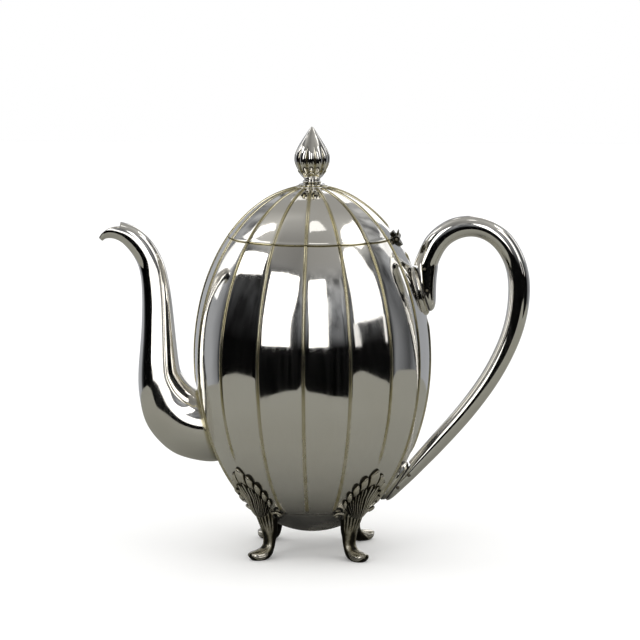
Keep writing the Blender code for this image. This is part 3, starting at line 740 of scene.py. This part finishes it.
def make_body():
    edge = SEAM_Z - SEAM_GAP
    heights = levels(BASE_JOINT_Z + 0.15, edge - 1.0, 140)
    heights += [edge - drop for drop in (0.7, 0.5, 0.35, 0.2, 0.08, 0.0)]
    shell = notched(pierced(shell_mesh(heights, "pot_body")))
    piece("pot_body", shell, "pot", BODY_SILVER, "body_shell")


def make_base():
    low = BODY_MID_Z - BODY_BOTTOM_REACH
    outside = [body_outline(z) for z in levels(low + 0.05, BASE_JOINT_Z, 40)]
    outside.append(body_outline(BASE_JOINT_Z, -0.3))
    inside = [body_outline(z, -WALL) for z in levels(low + WALL + 0.3, BASE_JOINT_Z - 0.12, 20)[::-1]]
    profile = [(0.0, low), *outside, *inside, (0.0, low + WALL)]
    base = turned(profile, 192, "pot_base", lambda radius, height: bottom_darkening(height))
    piece("pot_base", base, "pot", BASE_SILVER, "base_disc")


def lid_lip(z):
    """How far the narrow rolled edge round the bottom of the lid stands out at height z."""
    rise = z - (SEAM_Z + SEAM_GAP)
    return 0.09 * math.sqrt(max(0.0, 1 - ((rise - 0.6) / 0.65) ** 2)) if rise < 1.25 else 0.0


def make_lid():
    low = SEAM_Z + SEAM_GAP
    heights = [low + 0.12 * k for k in range(11)] + levels(low + 1.5, top_height(2.0), 60)
    shell = notched(shell_mesh(heights, "pot_lid", lid_lip))
    piece("pot_lid", shell, "lid", BODY_SILVER, "lid_shell")


# ---------------------------------------------------------------- finial


# The bud's outline as (radius, height), from its neck to its tip.
BUD_PROFILE = [
    (4.3, 198.2), (4.3, 198.9), (4.8, 199.9), (5.8, 201.3), (7.1, 203.1), (8.3, 205.2), (9.1, 207.4),
    (9.4, 209.6), (9.1, 211.9), (8.3, 214.1), (7.1, 216.4), (5.8, 218.5), (4.5, 220.5), (3.35, 222.2),
    (2.2, 224.0), (1.25, 225.3), (0.6, 226.1),
]
BUD_TIP_Z = 226.4
BUD_LOBES = 12
BUD_FLUTING = 0.10  # depth between the lobes, as a share of the radius
PETALS = 8
PETAL_EDGE_Z = (201.3, 203.4)  # where the petals' edge is lowest and highest
PETAL_THICKNESS = 0.38
# The finial's foot as (radius, height over the dome at its rim), from the rim up to the neck.
FINIAL_RIM_RADIUS = 8.4
FINIAL_STEPS = [
    (7.9, 0.02), (8.35, 0.15), (8.6, 0.5), (8.35, 0.85), (7.9, 1.0), (7.2, 1.1), (6.9, 1.35), (7.0, 1.6),
    (6.8, 1.85), (6.2, 1.98), (5.5, 2.15), (5.0, 2.5), (4.7, 2.9), (4.9, 3.1), (5.15, 3.3), (4.9, 3.55),
]
FINIAL_BORE = 1.8
FINIAL_FOOT_Z = (195.4, 198.1)


def bud_point(radius, z, a):
    """The bud's radius and age at angle a, from its plain radius: lobes above, petals round its neck."""
    lobe = abs(math.cos(BUD_LOBES * a / 2)) ** 0.75
    petal = abs(math.cos(PETALS * a / 2))
    depth = BUD_FLUTING * smooth_step(z, 200.5, 205) * (1 - smooth_step(z, 209.5, 219.5))
    low, high = PETAL_EDGE_Z
    edge = low + (high - low) * petal ** 0.6
    cover = 1 - smooth_step(z, edge - 0.35, edge + 0.05)
    reach = radius * (1 - depth * (1 - lobe))
    reach += cover * (PETAL_THICKNESS + 0.2 * petal ** 8) * smooth_step(z, 198.9, 200.4)
    line = max(0.0, 1 - abs(z - edge) / 0.5) * smooth_step(z, 199.5, 201)
    gold = 0.8 * window(z, 202.5, 207.0, 2.0) * (1.2 - lobe)
    groove = (1 - lobe) ** 2 * 9 * depth * (1 - cover)
    return reach, min(1.0, max(gold, groove) + 0.7 * line)


def make_bud():
    rows = through_points(BUD_PROFILE, 7)
    columns = 240
    points, tarnish_and_shade_values = [], []
    for radius, z in rows:
        for a in round_angles(columns):
            reach, tarnish_and_shade = bud_point(radius, z, a)
            points.append((reach * math.cos(a), reach * math.sin(a), z))
            tarnish_and_shade_values.append(tarnish_and_shade)
    faces = grid_faces(len(rows), columns, closed=True)
    below, tip = len(points), len(points) + 1
    points += [(0, 0, rows[0][1]), (0, 0, BUD_TIP_Z)]
    tarnish_and_shade_values += [0.5, 0.0]
    last = (len(rows) - 1) * columns
    for c in range(columns):
        n = (c + 1) % columns
        faces += [(below, n, c), (tip, last + c, last + n)]
    bud = mesh_from(points, faces, "finial_flower", tarnish_and_shade_values)
    piece("finial_flower", bud, "lid", FINIAL_SILVER, "finial_bud", crease=55)


def make_finial_foot():
    dome = top_height(FINIAL_RIM_RADIUS)
    low, high = FINIAL_FOOT_Z
    steps = [(radius, dome + rise) for radius, rise in FINIAL_STEPS] + [(4.55, high)]
    profile = [(FINIAL_BORE, low), *through_points(steps, 3), (FINIAL_BORE, high)]

    def grooved(radius, height):
        rise = height - dome
        return 0.75 if abs(rise - 1.05) < 0.25 or abs(rise - 2.9) < 0.2 else 0.0

    foot = turned(profile, 96, "finial_foot", grooved)
    piece("finial_foot", foot, "lid", FINIAL_SILVER, "finial_base", crease=60)


# ---------------------------------------------------------------- hinge


def surface_patch(half_angle, low, high, name, taper):
    """A thin curved plate on the +X side of the body, with a rounded far end that is taper times as wide."""
    columns, rows = 16, 8
    grids = []
    for offset in HINGE_LEAF_FACES:
        points = []
        for r in range(rows + 1):
            share = r / rows
            reach = half_angle * (1 + (taper - 1) * share)
            for c in range(columns + 1):
                across = 2 * c / columns - 1
                z = low + (high - low) * share * (1 - 0.18 * across * across)
                points.append(on_body(reach * across, z, offset))
        grids.append(points)
    return plate_mesh(*grids, columns + 1, name)


def make_body_leaf():
    leaf = surface_patch(11.3, HINGE_Z - HINGE_LEAF_START, 164.0, "body_leaf", taper=0.35)
    room = LID_KNUCKLE_HALF + 0.1
    for side in (-1, 1):
        knuckle = hinge_rod(KNUCKLE_RADIUS, side * room, side * HINGE_HALF_LENGTH, "knuckle")
        leaf = combined(leaf, knuckle, "UNION", "EXACT")
    leaf = cut(leaf, hinge_rod(KNUCKLE_RADIUS + 0.3, -room, room, "knuckle_room"), "EXACT")
    leaf = cut(leaf, hinge_rod(HINGE_BORE, -20, 20, "hinge_bore"), "EXACT")
    piece("hinge_fixed_leaf", aged(leaf, 0.74), "pot", CAST, "hinge_body_leaf")


def make_lid_leaf():
    leaf = surface_patch(3.5, HINGE_Z + HINGE_LEAF_START, 171.6, "lid_leaf", taper=1.5)
    lug = [(-0.6, HINGE_Z), (0.6, HINGE_Z), (1.0, 171.9), (0.75, 172.25), (0.45, 172.25), (0.15, 171.9)]
    lug = slab([(HINGE_X + x, z) for x, z in lug], LID_KNUCKLE_HALF - 0.4, "stop_lug")
    knuckle = hinge_rod(KNUCKLE_RADIUS, -LID_KNUCKLE_HALF, LID_KNUCKLE_HALF, "knuckle")
    for part in (lug, knuckle):
        leaf = combined(leaf, part, "UNION", "EXACT")
    leaf = cut(leaf, hinge_rod(HINGE_BORE, -20, 20, "hinge_bore"), "EXACT")
    piece("hinge_moving_leaf", aged(leaf, 0.68), "lid", CAST, "hinge_lid_leaf")


def make_hinge():
    make_body_leaf()
    make_lid_leaf()
    reach = HINGE_HALF_LENGTH + 0.05
    axle = hinge_rod(HINGE_AXLE_RADIUS, -reach, reach, "hinge_axle", segments=32, dome=0.3)
    piece("hinge_axle", axle, "pot", PIN, "hinge_pin")


# ---------------------------------------------------------------- spout


def spout_age(place):
    """Tarnish in the corner where the spout's root meets the body."""
    if place.z >= 100:
        return 0.0
    height = max(-1.0, min(1.0, (place.z - BODY_MID_Z) / BODY_BOTTOM_REACH))
    off_body = math.hypot(place.x, place.y) - BODY_RADIUS * math.sqrt(1 - height * height)
    return 0.8 * (1 - smooth_step(off_body, 0.0, 1.6))


def make_spout():
    rows = section_rows(SPOUT_SECTIONS, 8, 6)
    outer, inner = oval_rings(rows, 72), oval_rings(rows, 72, SPOUT_WALL)
    tube = cut(rings_mesh(outer + inner[::-1], "pot_spout", capped=False), body_solid())
    edge = [tuple(p) for p in through_points(MOUTH_EDGE[1:], 6)]
    outline = [MOUTH_EDGE[0], *edge, (-130.0, 165.0), (-130.0, 185.0)]
    tube = softened(cut(tube, slab(outline, 20.0, "mouth_cut")), 0.25)
    return piece("pot_spout", aged(tube, spout_age), "pot", SILVER, "spout", crease=50)


# ---------------------------------------------------------------- handle and its joints


class Joint:
    """Where the handle meets the body: a point on it, its outward normal and the direction up along it."""

    def __init__(self, z, oval):
        radius, _ = body_outline(z)
        tip, high = body_outline(z, 1.0)
        self.origin = Vector((radius, 0, z))
        self.normal = Vector((tip - radius, 0, high - z))
        self.up = Vector((-self.normal.z, 0, self.normal.x))
        self.oval = oval

    def at(self, along, out, y=0.0):
        """A point this far up along the joint, out from the body and across it."""
        return self.origin + self.up * along + self.normal * out + Vector((0, y, 0))

    def ring(self, out, grow=0.0, segments=72):
        """The handle end's oval, this far out and wider by grow."""
        long, short = (half + grow for half in self.oval)
        return [self.at(long * math.cos(a), out, short * math.sin(a)) for a in round_angles(segments)]

    def section(self, first, second, half):
        """A section of the handle from places given along this joint and out from its face."""
        ends = [self.at(along, HANDLE_FACE + out) for along, out in (first, second)]
        return ((ends[0].x, ends[0].z), (ends[1].x, ends[1].z), half)

    def behind(self, top):
        """A block that fills everything behind the joint's face, up to a height along it."""
        corners = [(-16, 0), (top, 0), (top + 0.5, -5), (top + 0.5, -20), (-16, -20)]
        spots = [self.at(along, HANDLE_FACE + out) for along, out in corners]
        return slab([(p.x, p.z) for p in spots], 12.0, "behind_joint")


# A flange's outline: how far out from the body, and how far outside the handle end's oval.
FLANGE_PROFILE = [
    (-3.0, 1.35), (-0.1, 1.4), (0.08, 1.34), (0.2, 1.15), (0.24, 0.98), (0.5, 0.96), (0.62, 0.9), (0.7, 0.74),
    (0.72, 0.6), (0.95, 0.56), (1.1, 0.48), (1.2, 0.3),
]
FLANGE_CORNERS = (-0.35, 0.24, 0.72)  # how far out the tarnished corners between its steps are


def make_flange(joint, name, node):
    """A plate of three thin steps that the handle's end faces."""

    def corner_age(place):
        out = (place - joint.origin).dot(joint.normal)
        nearest = max(1 - abs(out - corner) / 0.12 for corner in FLANGE_CORNERS)
        return min(1.0, 0.05 + max(0.0, nearest) * 0.75)

    plate = rings_mesh([joint.ring(out, grow) for out, grow in FLANGE_PROFILE], name)
    plate = aged(cut(plate, body_solid()), corner_age)
    piece(name, plate, "pot", SILVER, node, crease=50)


def make_handle(joints):
    """The hollow handle, cut off square at both joints, and the pins across its ends."""
    sections = [joints["upper"].section(*row) for row in UPPER_END] + HANDLE_SECTIONS
    sections += [joints["lower"].section(*row) for row in LOWER_END]
    rows = section_rows(sections, 8, 5)
    tube = rings_mesh(oval_rings(rows, 72), "pot_handle")
    core = oval_rings(rows[HANDLE_SOLID_ROWS:-HANDLE_SOLID_ROWS], 48, HANDLE_WALL)
    tube = cut(tube, rings_mesh(core, "handle_core"))
    for which, top in HANDLE_CUT_TOP.items():
        tube = cut(tube, joints[which].behind(top))
    tube = softened(tube, 0.3)
    for name, (which, along, out, half) in PINS.items():
        joint = joints[which]
        hole = rod(joint.at(along, out, -12), joint.at(along, out, 12), PIN_HOLE_RADIUS, 24, "pin_hole")
        tube = cut(tube, hole)
        pin = rod(joint.at(along, out, -half), joint.at(along, out, half), PIN_RADIUS, 24, name, dome=0.35)
        piece(name + "_head", aged(pin, 0.0), "pot", PIN, name)
    piece("pot_handle", aged(tube, 0.0), "pot", SILVER, "handle", crease=50)


# ---------------------------------------------------------------- feet


def lobe_at(angle):
    """The lobe this angle falls in: its number and how far across it, from -1 to 1."""
    a = abs(angle)
    starts = [-LEAF_EDGES[0], *LEAF_EDGES[:-1]]
    for number, (low, high, tip) in enumerate(zip(starts, LEAF_EDGES, LEAF_LOBES)):
        if a <= high or number == len(LEAF_EDGES) - 1:
            half = (high - tip) if a > tip else (tip - low)
            across = max(-1.0, min(1.0, (a - tip) / half))
            return number, across if angle >= 0 else -across


def leaf_reach(angle):
    """How far the leaf's scalloped edge is from its root, at this angle from upright."""
    _, across = lobe_at(angle)
    fall = (LEAF_REACH - LEAF_SIDE_REACH) * abs(angle) / LEAF_LOBES[-1]
    return (LEAF_REACH - fall) * (1 - LEAF_NOTCH * (1 - math.sqrt(max(0.0, 1 - across * across))))


def leaf_climb():
    """Heights reached by walking up the body from the leaf's root, one for each CLIMB_STEP."""
    table, z = [], LEAF_ROOT_Z
    for _ in range(161):
        table.append(z)
        radius, _ = body_outline(z)
        tip, _ = body_outline(z, 1.0)
        z += CLIMB_STEP * (tip - radius)
    return table


CLIMB = leaf_climb()


def over_body(along, across, offset):
    """A point over the +X side of the body, this far up from the leaf's root and sideways from its middle."""
    steps = max(0.0, along / CLIMB_STEP)
    k = min(int(steps), len(CLIMB) - 2)
    z = CLIMB[k] + (CLIMB[k + 1] - CLIMB[k]) * (steps - k) + min(0.0, along) * ROOT_SLOPE
    radius, _ = body_outline(z)
    return on_body(math.degrees(across / radius), z, offset)


def leaf_spot(reach, angle, offset, spread):
    """A point this far from the leaf's root at this angle from upright. spread widens the root."""
    turn = math.radians(angle)
    return over_body(reach * math.cos(turn), reach * math.sin(turn) + spread * angle / LEAF_EDGES[-1], offset)


def ridge(x, width):
    """1 at x = 0, falling away to each side."""
    return math.exp(-((x / width) ** 2))


def leaf_height(angle, share):
    """How far the leaf's face stands off the body, and how dark it is, at this share of the way out to its
    edge: tarnish between the veins and round the pads, and painted shadow along the edge.
    """
    number, across = lobe_at(angle)
    x = abs(across)
    pad_start = 0.70 if number == 0 else 0.74
    pad = smooth_step(share, pad_start - 0.04, pad_start + 0.06)
    bowl = math.sqrt(max(0.0, 1 - (x / 0.86) ** 2)) if x < 0.86 else 0.0
    edge = math.sqrt(max(0.0, 1 - max(0.0, (share - 0.88) / 0.12) ** 2))
    veins = max(ridge(x - 1.0, 0.24), ridge(x, 0.22))
    relief = (1 - pad) * 1.25 * veins * (0.3 + 0.7 * smooth_step(share, 0.0, 0.5)) + pad * 1.7 * bowl
    aside = angle / LEAF_EDGES[-1]
    root = LEAF_ROOT_HEIGHT * (1 - smooth_step(share, 0.0, 0.5)) * math.sqrt(1 - 0.8 * aside * aside)
    rim = LEAF_THICKNESS[1]
    height = 0.4 + root + relief
    if share > 0.88:
        height = rim + (height - rim) * edge
    dark = (1 - pad) * (1 - 0.95 * smooth_step(veins, 0.35, 0.9)) + pad * smooth_step(x, 0.6, 0.92)
    # Painted shadow: the face is darkened just inside the leaf's edge, as a dark outline where the leaf
    # stands off the body.
    dark = max(dark, ridge(share - pad_start, 0.025), smooth_step(share, 0.95, 1.0))
    return height, min(1.0, dark)


def leaf_mesh():
    """The leaf that lies on the body: lobes round its edge, and veins that run from them down to its root."""
    columns, rows = 264, 46
    limit = LEAF_EDGES[-1]
    back, rim = LEAF_THICKNESS
    angles = [limit * (2 * c / columns - 1) for c in range(columns + 1)]
    front_points, back_points, tarnish_and_shade_values = [], [], []
    for r in range(rows + 1):
        share = math.sin(0.5 * math.pi * r / rows)
        spread = LEAF_ROOT_HALF * (1 - share)
        for angle in angles:
            height, tarnish_and_shade = leaf_height(angle, share)
            side = math.sqrt(max(0.0, 1 - smooth_step(abs(angle), limit - 2.0, limit)))
            reach = leaf_reach(angle) * share
            front_points.append(leaf_spot(reach, angle, rim + (height - rim) * side, spread))
            back_points.append(leaf_spot(reach, angle, back, spread))
            tarnish_and_shade_values.append(tarnish_and_shade)
    # Painted shadow: the leaf's back is made fully dark, which darkens the sides of its rim.
    tarnish_and_shade_values += [1.0] * len(back_points)
    return plate_mesh(front_points, back_points, columns + 1, "foot_leaf", tarnish_and_shade_values)


def leg_point(share, a):
    """How far a leg's section is drawn in at angle a from its outer side, and how dark it is there: tarnish
    in the flutes, ridges and toe, and painted shade on its inner side.
    """
    fluted = 1 - smooth_step(share, 0.2, 0.36)
    ridged = smooth_step(share, 0.24, 0.4) * (1 - smooth_step(share, 0.62, 0.76))
    toe = smooth_step(share, 0.66, 0.82)
    front = max(0.0, math.cos(a)) ** 0.5
    hollow = 0.5 + 0.5 * math.cos(4 * a)
    cleft = 1 - abs(math.cos(3.2 * a)) ** 0.6
    furrow = 1 - abs(math.cos(LEG_FLUTES * a / 2)) ** 1.5
    draw = front * (ridged * 0.14 * hollow + toe * 0.13 * cleft + fluted * 0.11 * furrow)
    tarnish_and_shade = ridged * (0.42 + 0.5 * hollow) + toe * 1.1 * cleft * front + fluted * (0.25 + furrow)
    # Painted shade: the inner side of the leg, turned towards the pot, is darkened as if in its shadow.
    tarnish_and_shade += 1.1 * (1 - smooth_step(math.cos(a) + 0.55 * toe, -0.25, 0.3))
    return draw, min(1.0, tarnish_and_shade)


def leg_mesh():
    """The curved leg: fluted where it leaves the leaf, then ridged, with a lobed toe."""
    rows = section_rows(LEG_SECTIONS, 12, 2)
    plain = oval_rings(rows, 144)
    tarnish_and_shade_values, rings = [], []
    for index, (row, ring) in enumerate(zip(rows, plain)):
        middle = Vector(((row[0] + row[2]) / 2, 0, (row[1] + row[3]) / 2))
        drawn = []
        for point, a in zip(ring, round_angles(len(ring))):
            draw, tarnish_and_shade = leg_point(index / (len(rows) - 1), a)
            point = middle + (point - middle) * (1 - draw)
            drawn.append((point.x, point.y, max(0.0, point.z)))
            tarnish_and_shade_values.append(tarnish_and_shade)
        rings.append(drawn)
    return rings_mesh(rings, "foot_leg", tarnish_and_shade_values)


# The scroll at each lower corner of the leaf: distance up and sideways from the root, height over the body,
# and thickness.
SCROLL = [
    (-4.0, 6.2, 1.2, 0.5), (-1.6, 7.0, 1.4, 0.65), (0.8, 8.2, 1.5, 0.75), (2.4, 9.9, 1.6, 0.8),
    (2.7, 11.9, 1.5, 0.8), (1.5, 13.1, 1.4, 0.75), (0.0, 12.8, 1.3, 0.7), (-0.7, 11.6, 1.2, 0.65),
    (0.1, 10.8, 1.1, 0.6),
]


def scroll_mesh(side):
    """A tapering bar that follows the leaf's lowest vein and curls over at its end."""
    rows = through_points(SCROLL, 5)
    spots = [over_body(along, across, lift) for along, across, lift, _ in rows]
    rings, tarnish_and_shade_values = [], []
    for k, (spot, row) in enumerate(zip(spots, rows)):
        before, after = spots[max(0, k - 1)], spots[min(len(spots) - 1, k + 1)]
        tangent = (after - before).normalized()
        out = Vector((spot.x, spot.y, spot.z - BODY_MID_Z)).normalized()
        across = tangent.cross(out).normalized()
        out = across.cross(tangent)
        thick = row[3] * (0.6 if k in (0, len(rows) - 1) else 1.0)
        ring = []
        for a in round_angles(18):
            point = spot + (out * math.cos(a) + across * math.sin(a)) * thick
            ring.append(Vector((point.x, side * point.y, point.z)))
            # Painted shade: the half of the bar that faces the body is darkened as if in shadow.
            tarnish_and_shade_values.append(0.95 * smooth_step(-math.cos(a), -0.5, 0.5))
        rings.append(ring)
    return rings_mesh(rings, "foot_scroll", tarnish_and_shade_values)


def make_feet():
    """One casting, turned to each of the four places."""
    foot = leg_mesh()
    for part in (leaf_mesh(), scroll_mesh(1), scroll_mesh(-1)):
        foot = combined(foot, part, "UNION")
    for place, angle in FOOT_ANGLES.items():
        node = "foot_" + place
        piece(node + "_casting", foot.copy(), "pot", CAST, node, crease=60, turn_z=angle)


# ---------------------------------------------------------------- CAD pieces that stay as they are


def dress_cad():
    """Gives materials to the CAD solids that are shown as they are."""
    looks = {
        INNER: ["mouth_collar", "lid_bezel"],
        PIN: ["finial_stud", "finial_washer", "finial_nut"],
        BLACK: ["upper_insulator", "lower_insulator"],
    }
    for look, names in looks.items():
        for name in names:
            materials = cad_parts[name].data.materials
            if not materials:
                materials.append(look)
            for k in range(len(materials)):
                materials[k] = look


# ---------------------------------------------------------------- studio


PHOTO_AZIMUTH = 4.0
PHOTO_ELEVATION = 8.26
PHOTO_DISTANCE = 1.529
PHOTO_TARGET = Vector((0.00418, 0.0, 0.12399))
PHOTO_LENS = 162.56

# Soft boxes round and over the pot: bearing from the camera's bearing, half width, lowest and highest
# elevation, radiance and roll. The angles are in degrees.
SOFT_BOXES = [
    (-89.0, 15.0, 28.0, 40.0, 2.6, 24.0),
    (-35.5, 10.0, 4.0, 40.5, 2.2, 0.0),
    (9.8, 6.2, 4.0, 38.5, 2.2, 0.0),
    (62.0, 12.0, 13.0, 50.0, 1.3, 0.0),
    (51.5, 2.5, 3.0, 13.0, 0.9, 0.0),
    (71.5, 2.5, 3.0, 13.0, 1.0, 0.0),
    (95.0, 17.0, 47.0, 59.0, 1.2, 0.0),
    (124.0, 8.0, 10.0, 32.0, 0.8, 0.0),
    (164.0, 9.0, 2.0, 40.0, 1.1, 0.0),
    (-126.0, 6.0, 8.0, 42.0, 1.1, 0.0),
    (-108.0, 5.0, 41.0, 53.0, 1.4, 0.0),
    (25.0, 24.0, 74.0, 84.0, 0.8, 0.0),
    (-163.0, 7.0, 48.0, 59.0, 0.7, 0.0),
]
# Low soft boxes that only the spout catches.
SPOUT_BOXES = [
    (-2.0, 34.0, -1.5, 15.0, 1.5, 0.0),
    (68.0, 34.0, -2.0, 13.0, 0.26, 0.0),
    (128.0, 12.0, -4.0, 14.0, 1.0, 0.0),
]
BOX_DISTANCE = 3.0
BOX_CENTRE = Vector((0.0, 0.0, 0.1))


def bearing(azimuth, elevation):
    """A direction from the pot: azimuth 0 is towards -Y and 90 towards +X."""
    a, e = math.radians(azimuth), math.radians(elevation)
    return Vector((math.sin(a) * math.cos(e), -math.cos(a) * math.cos(e), math.sin(e)))


def soft_box(name, offset, half, low, high, radiance, roll):
    """A square light of even radiance that faces the pot and fills the given angles."""
    elevation = (low + high) / 2
    towards = bearing(PHOTO_AZIMUTH + offset, elevation)
    data = bpy.data.lights.new(name, "AREA")
    data.shape = "RECTANGLE"
    data.size = 2 * BOX_DISTANCE * math.tan(math.radians(half)) * math.cos(math.radians(elevation))
    data.size_y = 2 * BOX_DISTANCE * math.tan(math.radians((high - low) / 2))
    data.energy = math.pi * data.size * data.size_y * radiance
    data.color = (1.0, 0.99, 0.975)
    made = bpy.data.objects.new(name, data)
    made.location = BOX_CENTRE + towards * BOX_DISTANCE
    turn = (-towards).to_track_quat("-Z", "Y").to_matrix() @ Matrix.Rotation(math.radians(roll), 3, "Z")
    made.rotation_euler = turn.to_euler()
    made.visible_camera = False
    bpy.context.scene.collection.objects.link(made)
    return made


def make_lights(spout):
    for k, row in enumerate(SOFT_BOXES):
        soft_box(f"soft_box_{k}", *row)
    lit = bpy.data.collections.new("lit_by_low_boxes")
    lit.objects.link(spout)
    for k, row in enumerate(SPOUT_BOXES):
        soft_box(f"spout_box_{k}", *row).light_linking.receiver_collection = lit


# What reflections see of the room, as greys by bearing from the camera's bearing: below the height of a
# table, above it, and the ceiling's sides.
LOW_ROOM = [
    (-180, 0.42), (-150, 0.42), (-120, 0.36), (-110, 0.05), (-96, 0.0), (90, 0.0), (98, 0.22), (108, 0.06),
    (118, 0.30), (150, 0.36), (180, 0.42),
]
HIGH_ROOM = [
    (-180, 0.38), (-150, 0.32), (-118, 0.30), (-104, 0.10), (-90, 0.035), (-52, 0.035), (-24, 0.10),
    (-18, 0.30), (2, 0.20), (17, 0.34), (30, 0.30), (45, 0.12), (84, 0.14), (92, 0.06), (104, 0.12),
    (120, 0.40), (180, 0.38),
]
CEILING = [
    (-180, 0.34), (-135, 0.36), (-108, 0.62), (-88, 0.42), (-58, 0.25), (-30, 0.20), (0, 0.28), (40, 0.34),
    (72, 0.50), (100, 0.48), (130, 0.34), (180, 0.34),
]
OVERHEAD = (0.37, 0.37, 0.37)
# Elevations between which one part of the room gives way to the next.
TABLE_EDGE = (3.0, 20.0)
CEILING_EDGE = (37.0, 45.0)
OVERHEAD_EDGE = (58.0, 82.0)
COOL_LIGHT = (0.95, 0.98, 1.04)
WARM_LIGHT = (1.0, 0.985, 0.94)


def make_world():
    """White to the camera and to soft light; a dim room with a pale ceiling to reflections."""
    world = bpy.data.worlds.new("studio")
    bpy.context.scene.world = world
    tree = Nodes(world)
    tree.nodes.clear()
    looking = tree.add("ShaderNodeTexCoord").outputs["Generated"]
    turn = {"Vector": looking, "Angle": -math.radians(PHOTO_AZIMUTH)}
    tree.place = tree.add("ShaderNodeVectorRotate", turn, rotation_type="Z_AXIS").outputs["Vector"]
    split = tree.add("ShaderNodeSeparateXYZ", {0: tree.place})
    towards = tree.math("MULTIPLY", split.outputs["Y"], -1.0)
    around = tree.fit(tree.math("ARCTAN2", split.outputs["X"], towards), -math.pi, math.pi)
    elevation = tree.math("MULTIPLY", tree.math("ARCSINE", split.outputs["Z"]), 180 / math.pi)

    def by_bearing(greys):
        return tree.ramp(around, [((angle + 180) / 360, (grey, grey, grey)) for angle, grey in greys])

    streaks = tree.noise(1.6, vector=tree.stretched((7.0, 7.0, 1.2)))
    uneven = tree.fit(streaks, 0.35, 0.65, 0.35, 1.5)
    high = tree.add("ShaderNodeVectorMath", {0: by_bearing(HIGH_ROOM), "Scale": uneven}, operation="SCALE")
    wall = tree.blend(tree.fit(elevation, *TABLE_EDGE), by_bearing(LOW_ROOM), high.outputs[0])
    ceiling = tree.blend(tree.fit(elevation, *OVERHEAD_EDGE), by_bearing(CEILING), OVERHEAD)
    room = tree.blend(tree.fit(elevation, *CEILING_EDGE), wall, ceiling)
    tint = tree.blend(tree.fit(elevation, 20.0, 50.0), COOL_LIGHT, WARM_LIGHT)
    tinted = tree.add("ShaderNodeVectorMath", {0: room, 1: tint}, operation="MULTIPLY")
    dim = tree.add("ShaderNodeBackground", {"Color": tinted.outputs[0]})
    white = tree.add("ShaderNodeBackground", {"Color": (1.0, 1.0, 1.0)})
    glossy = tree.add("ShaderNodeLightPath").outputs["Is Glossy Ray"]
    seen = tree.add("ShaderNodeMixShader", {0: glossy, 1: white.outputs[0], 2: dim.outputs[0]})
    tree.add("ShaderNodeOutputWorld", {"Surface": seen.outputs[0]})


def stage_sheet(name, outline, z, look):
    """A flat sheet of the studio, from (x, y) corners in metres."""
    mesh = bpy.data.meshes.new(name)
    mesh.from_pydata([(x, y, z) for x, y in outline], [], [tuple(range(len(outline)))])
    mesh.materials.append(look)
    made = bpy.data.objects.new(name, mesh)
    bpy.context.scene.collection.objects.link(made)
    return made


# Where the grey sheet that reflections see ends: bearing from the camera's bearing, and distance from the
# pot's axis in mm.
SHEET_EDGE = [
    (-170, 420), (-120, 420), (-100, 500), (-90, 530), (-82, 590), (-75, 640), (-68, 625), (-61, 580),
    (-54, 540), (-50, 335), (-42, 325), (-36, 338), (-31, 358), (-25, 390), (-20, 410), (-14, 470), (-9, 460),
    (-3, 430), (2, 392), (12, 368), (23, 330), (36, 328), (39, 640), (47, 745), (53, 790), (59, 640),
    (65, 515), (72, 452), (84, 520), (96, 680), (106, 635), (116, 615), (140, 500),
]
# The sheet's grey by distance from the pot's axis in metres, darker near the pot as a painted contact shadow.
SHEET_SHADOW_TONES = [(0.024, 0.006), (0.042, 0.070), (0.061, 0.125), (0.087, 0.160), (0.130, 0.190), (0.260, 0.215)]
SHEET_TONE_REACH = 0.3
SHEET_DROP = 0.0002
FLOOR_HALF = 2.6


def make_floor():
    """The pale floor that the camera sees, and under it the grey sheet that only reflections see, with a
    painted shadow round the pot.
    """
    pale = Look("pale_floor")
    shade = pale.blend(pale.noise(3.0, 2.0), (0.93, 0.93, 0.925), (0.96, 0.96, 0.955))
    half = FLOOR_HALF
    corners = [(-half, -half), (half, -half), (half, half), (-half, half)]
    floor = stage_sheet("floor", corners, 0.0, pale.finish(shade, 0.9, metallic=0.0))
    floor.visible_glossy = False
    floor.visible_shadow = False

    paper = Look("grey_sheet")
    distance = paper.add("ShaderNodeVectorMath", {0: paper.place}, operation="LENGTH").outputs["Value"]
    tones = [(reach / SHEET_TONE_REACH, (grey, grey * 0.99, grey * 0.85)) for reach, grey in SHEET_SHADOW_TONES]
    # Painted shadow: the sheet's grey falls towards the pot's axis.
    shade = paper.ramp(paper.fit(distance, 0.0, SHEET_TONE_REACH), tones)
    edge = [bearing(PHOTO_AZIMUTH + angle, 0.0) * reach * MM for angle, reach in SHEET_EDGE]
    look = paper.finish(shade, 0.9, metallic=0.0)
    sheet = stage_sheet("floor_in_reflections", [(p.x, p.y) for p in edge], -SHEET_DROP, look)
    sheet.visible_camera = False
    sheet.visible_diffuse = False
    sheet.visible_shadow = False


def make_camera():
    data = bpy.data.cameras.new("camera")
    data.sensor_width = 36.0
    data.lens = PHOTO_LENS
    data.clip_start, data.clip_end = 0.05, 60.0
    camera = bpy.data.objects.new("camera", data)
    towards = bearing(PHOTO_AZIMUTH, PHOTO_ELEVATION)
    camera.location = PHOTO_TARGET + towards * PHOTO_DISTANCE
    camera.rotation_euler = (-towards).to_track_quat("-Z", "Y").to_euler()
    bpy.context.scene.collection.objects.link(camera)
    bpy.context.scene.camera = camera


make_body()
make_base()
make_lid()
make_bud()
make_finial_foot()
make_hinge()
spout = make_spout()
joints = {"upper": Joint(UPPER_JOINT_Z, UPPER_OVAL), "lower": Joint(LOWER_JOINT_Z, LOWER_OVAL)}
make_flange(joints["upper"], "upper_plate", "upper_flange")
make_flange(joints["lower"], "lower_plate", "lower_flange")
make_handle(joints)
make_feet()
dress_cad()
make_lights(spout)
make_world()
make_floor()
make_camera()
bpy.context.scene.view_settings.view_transform = "Standard"
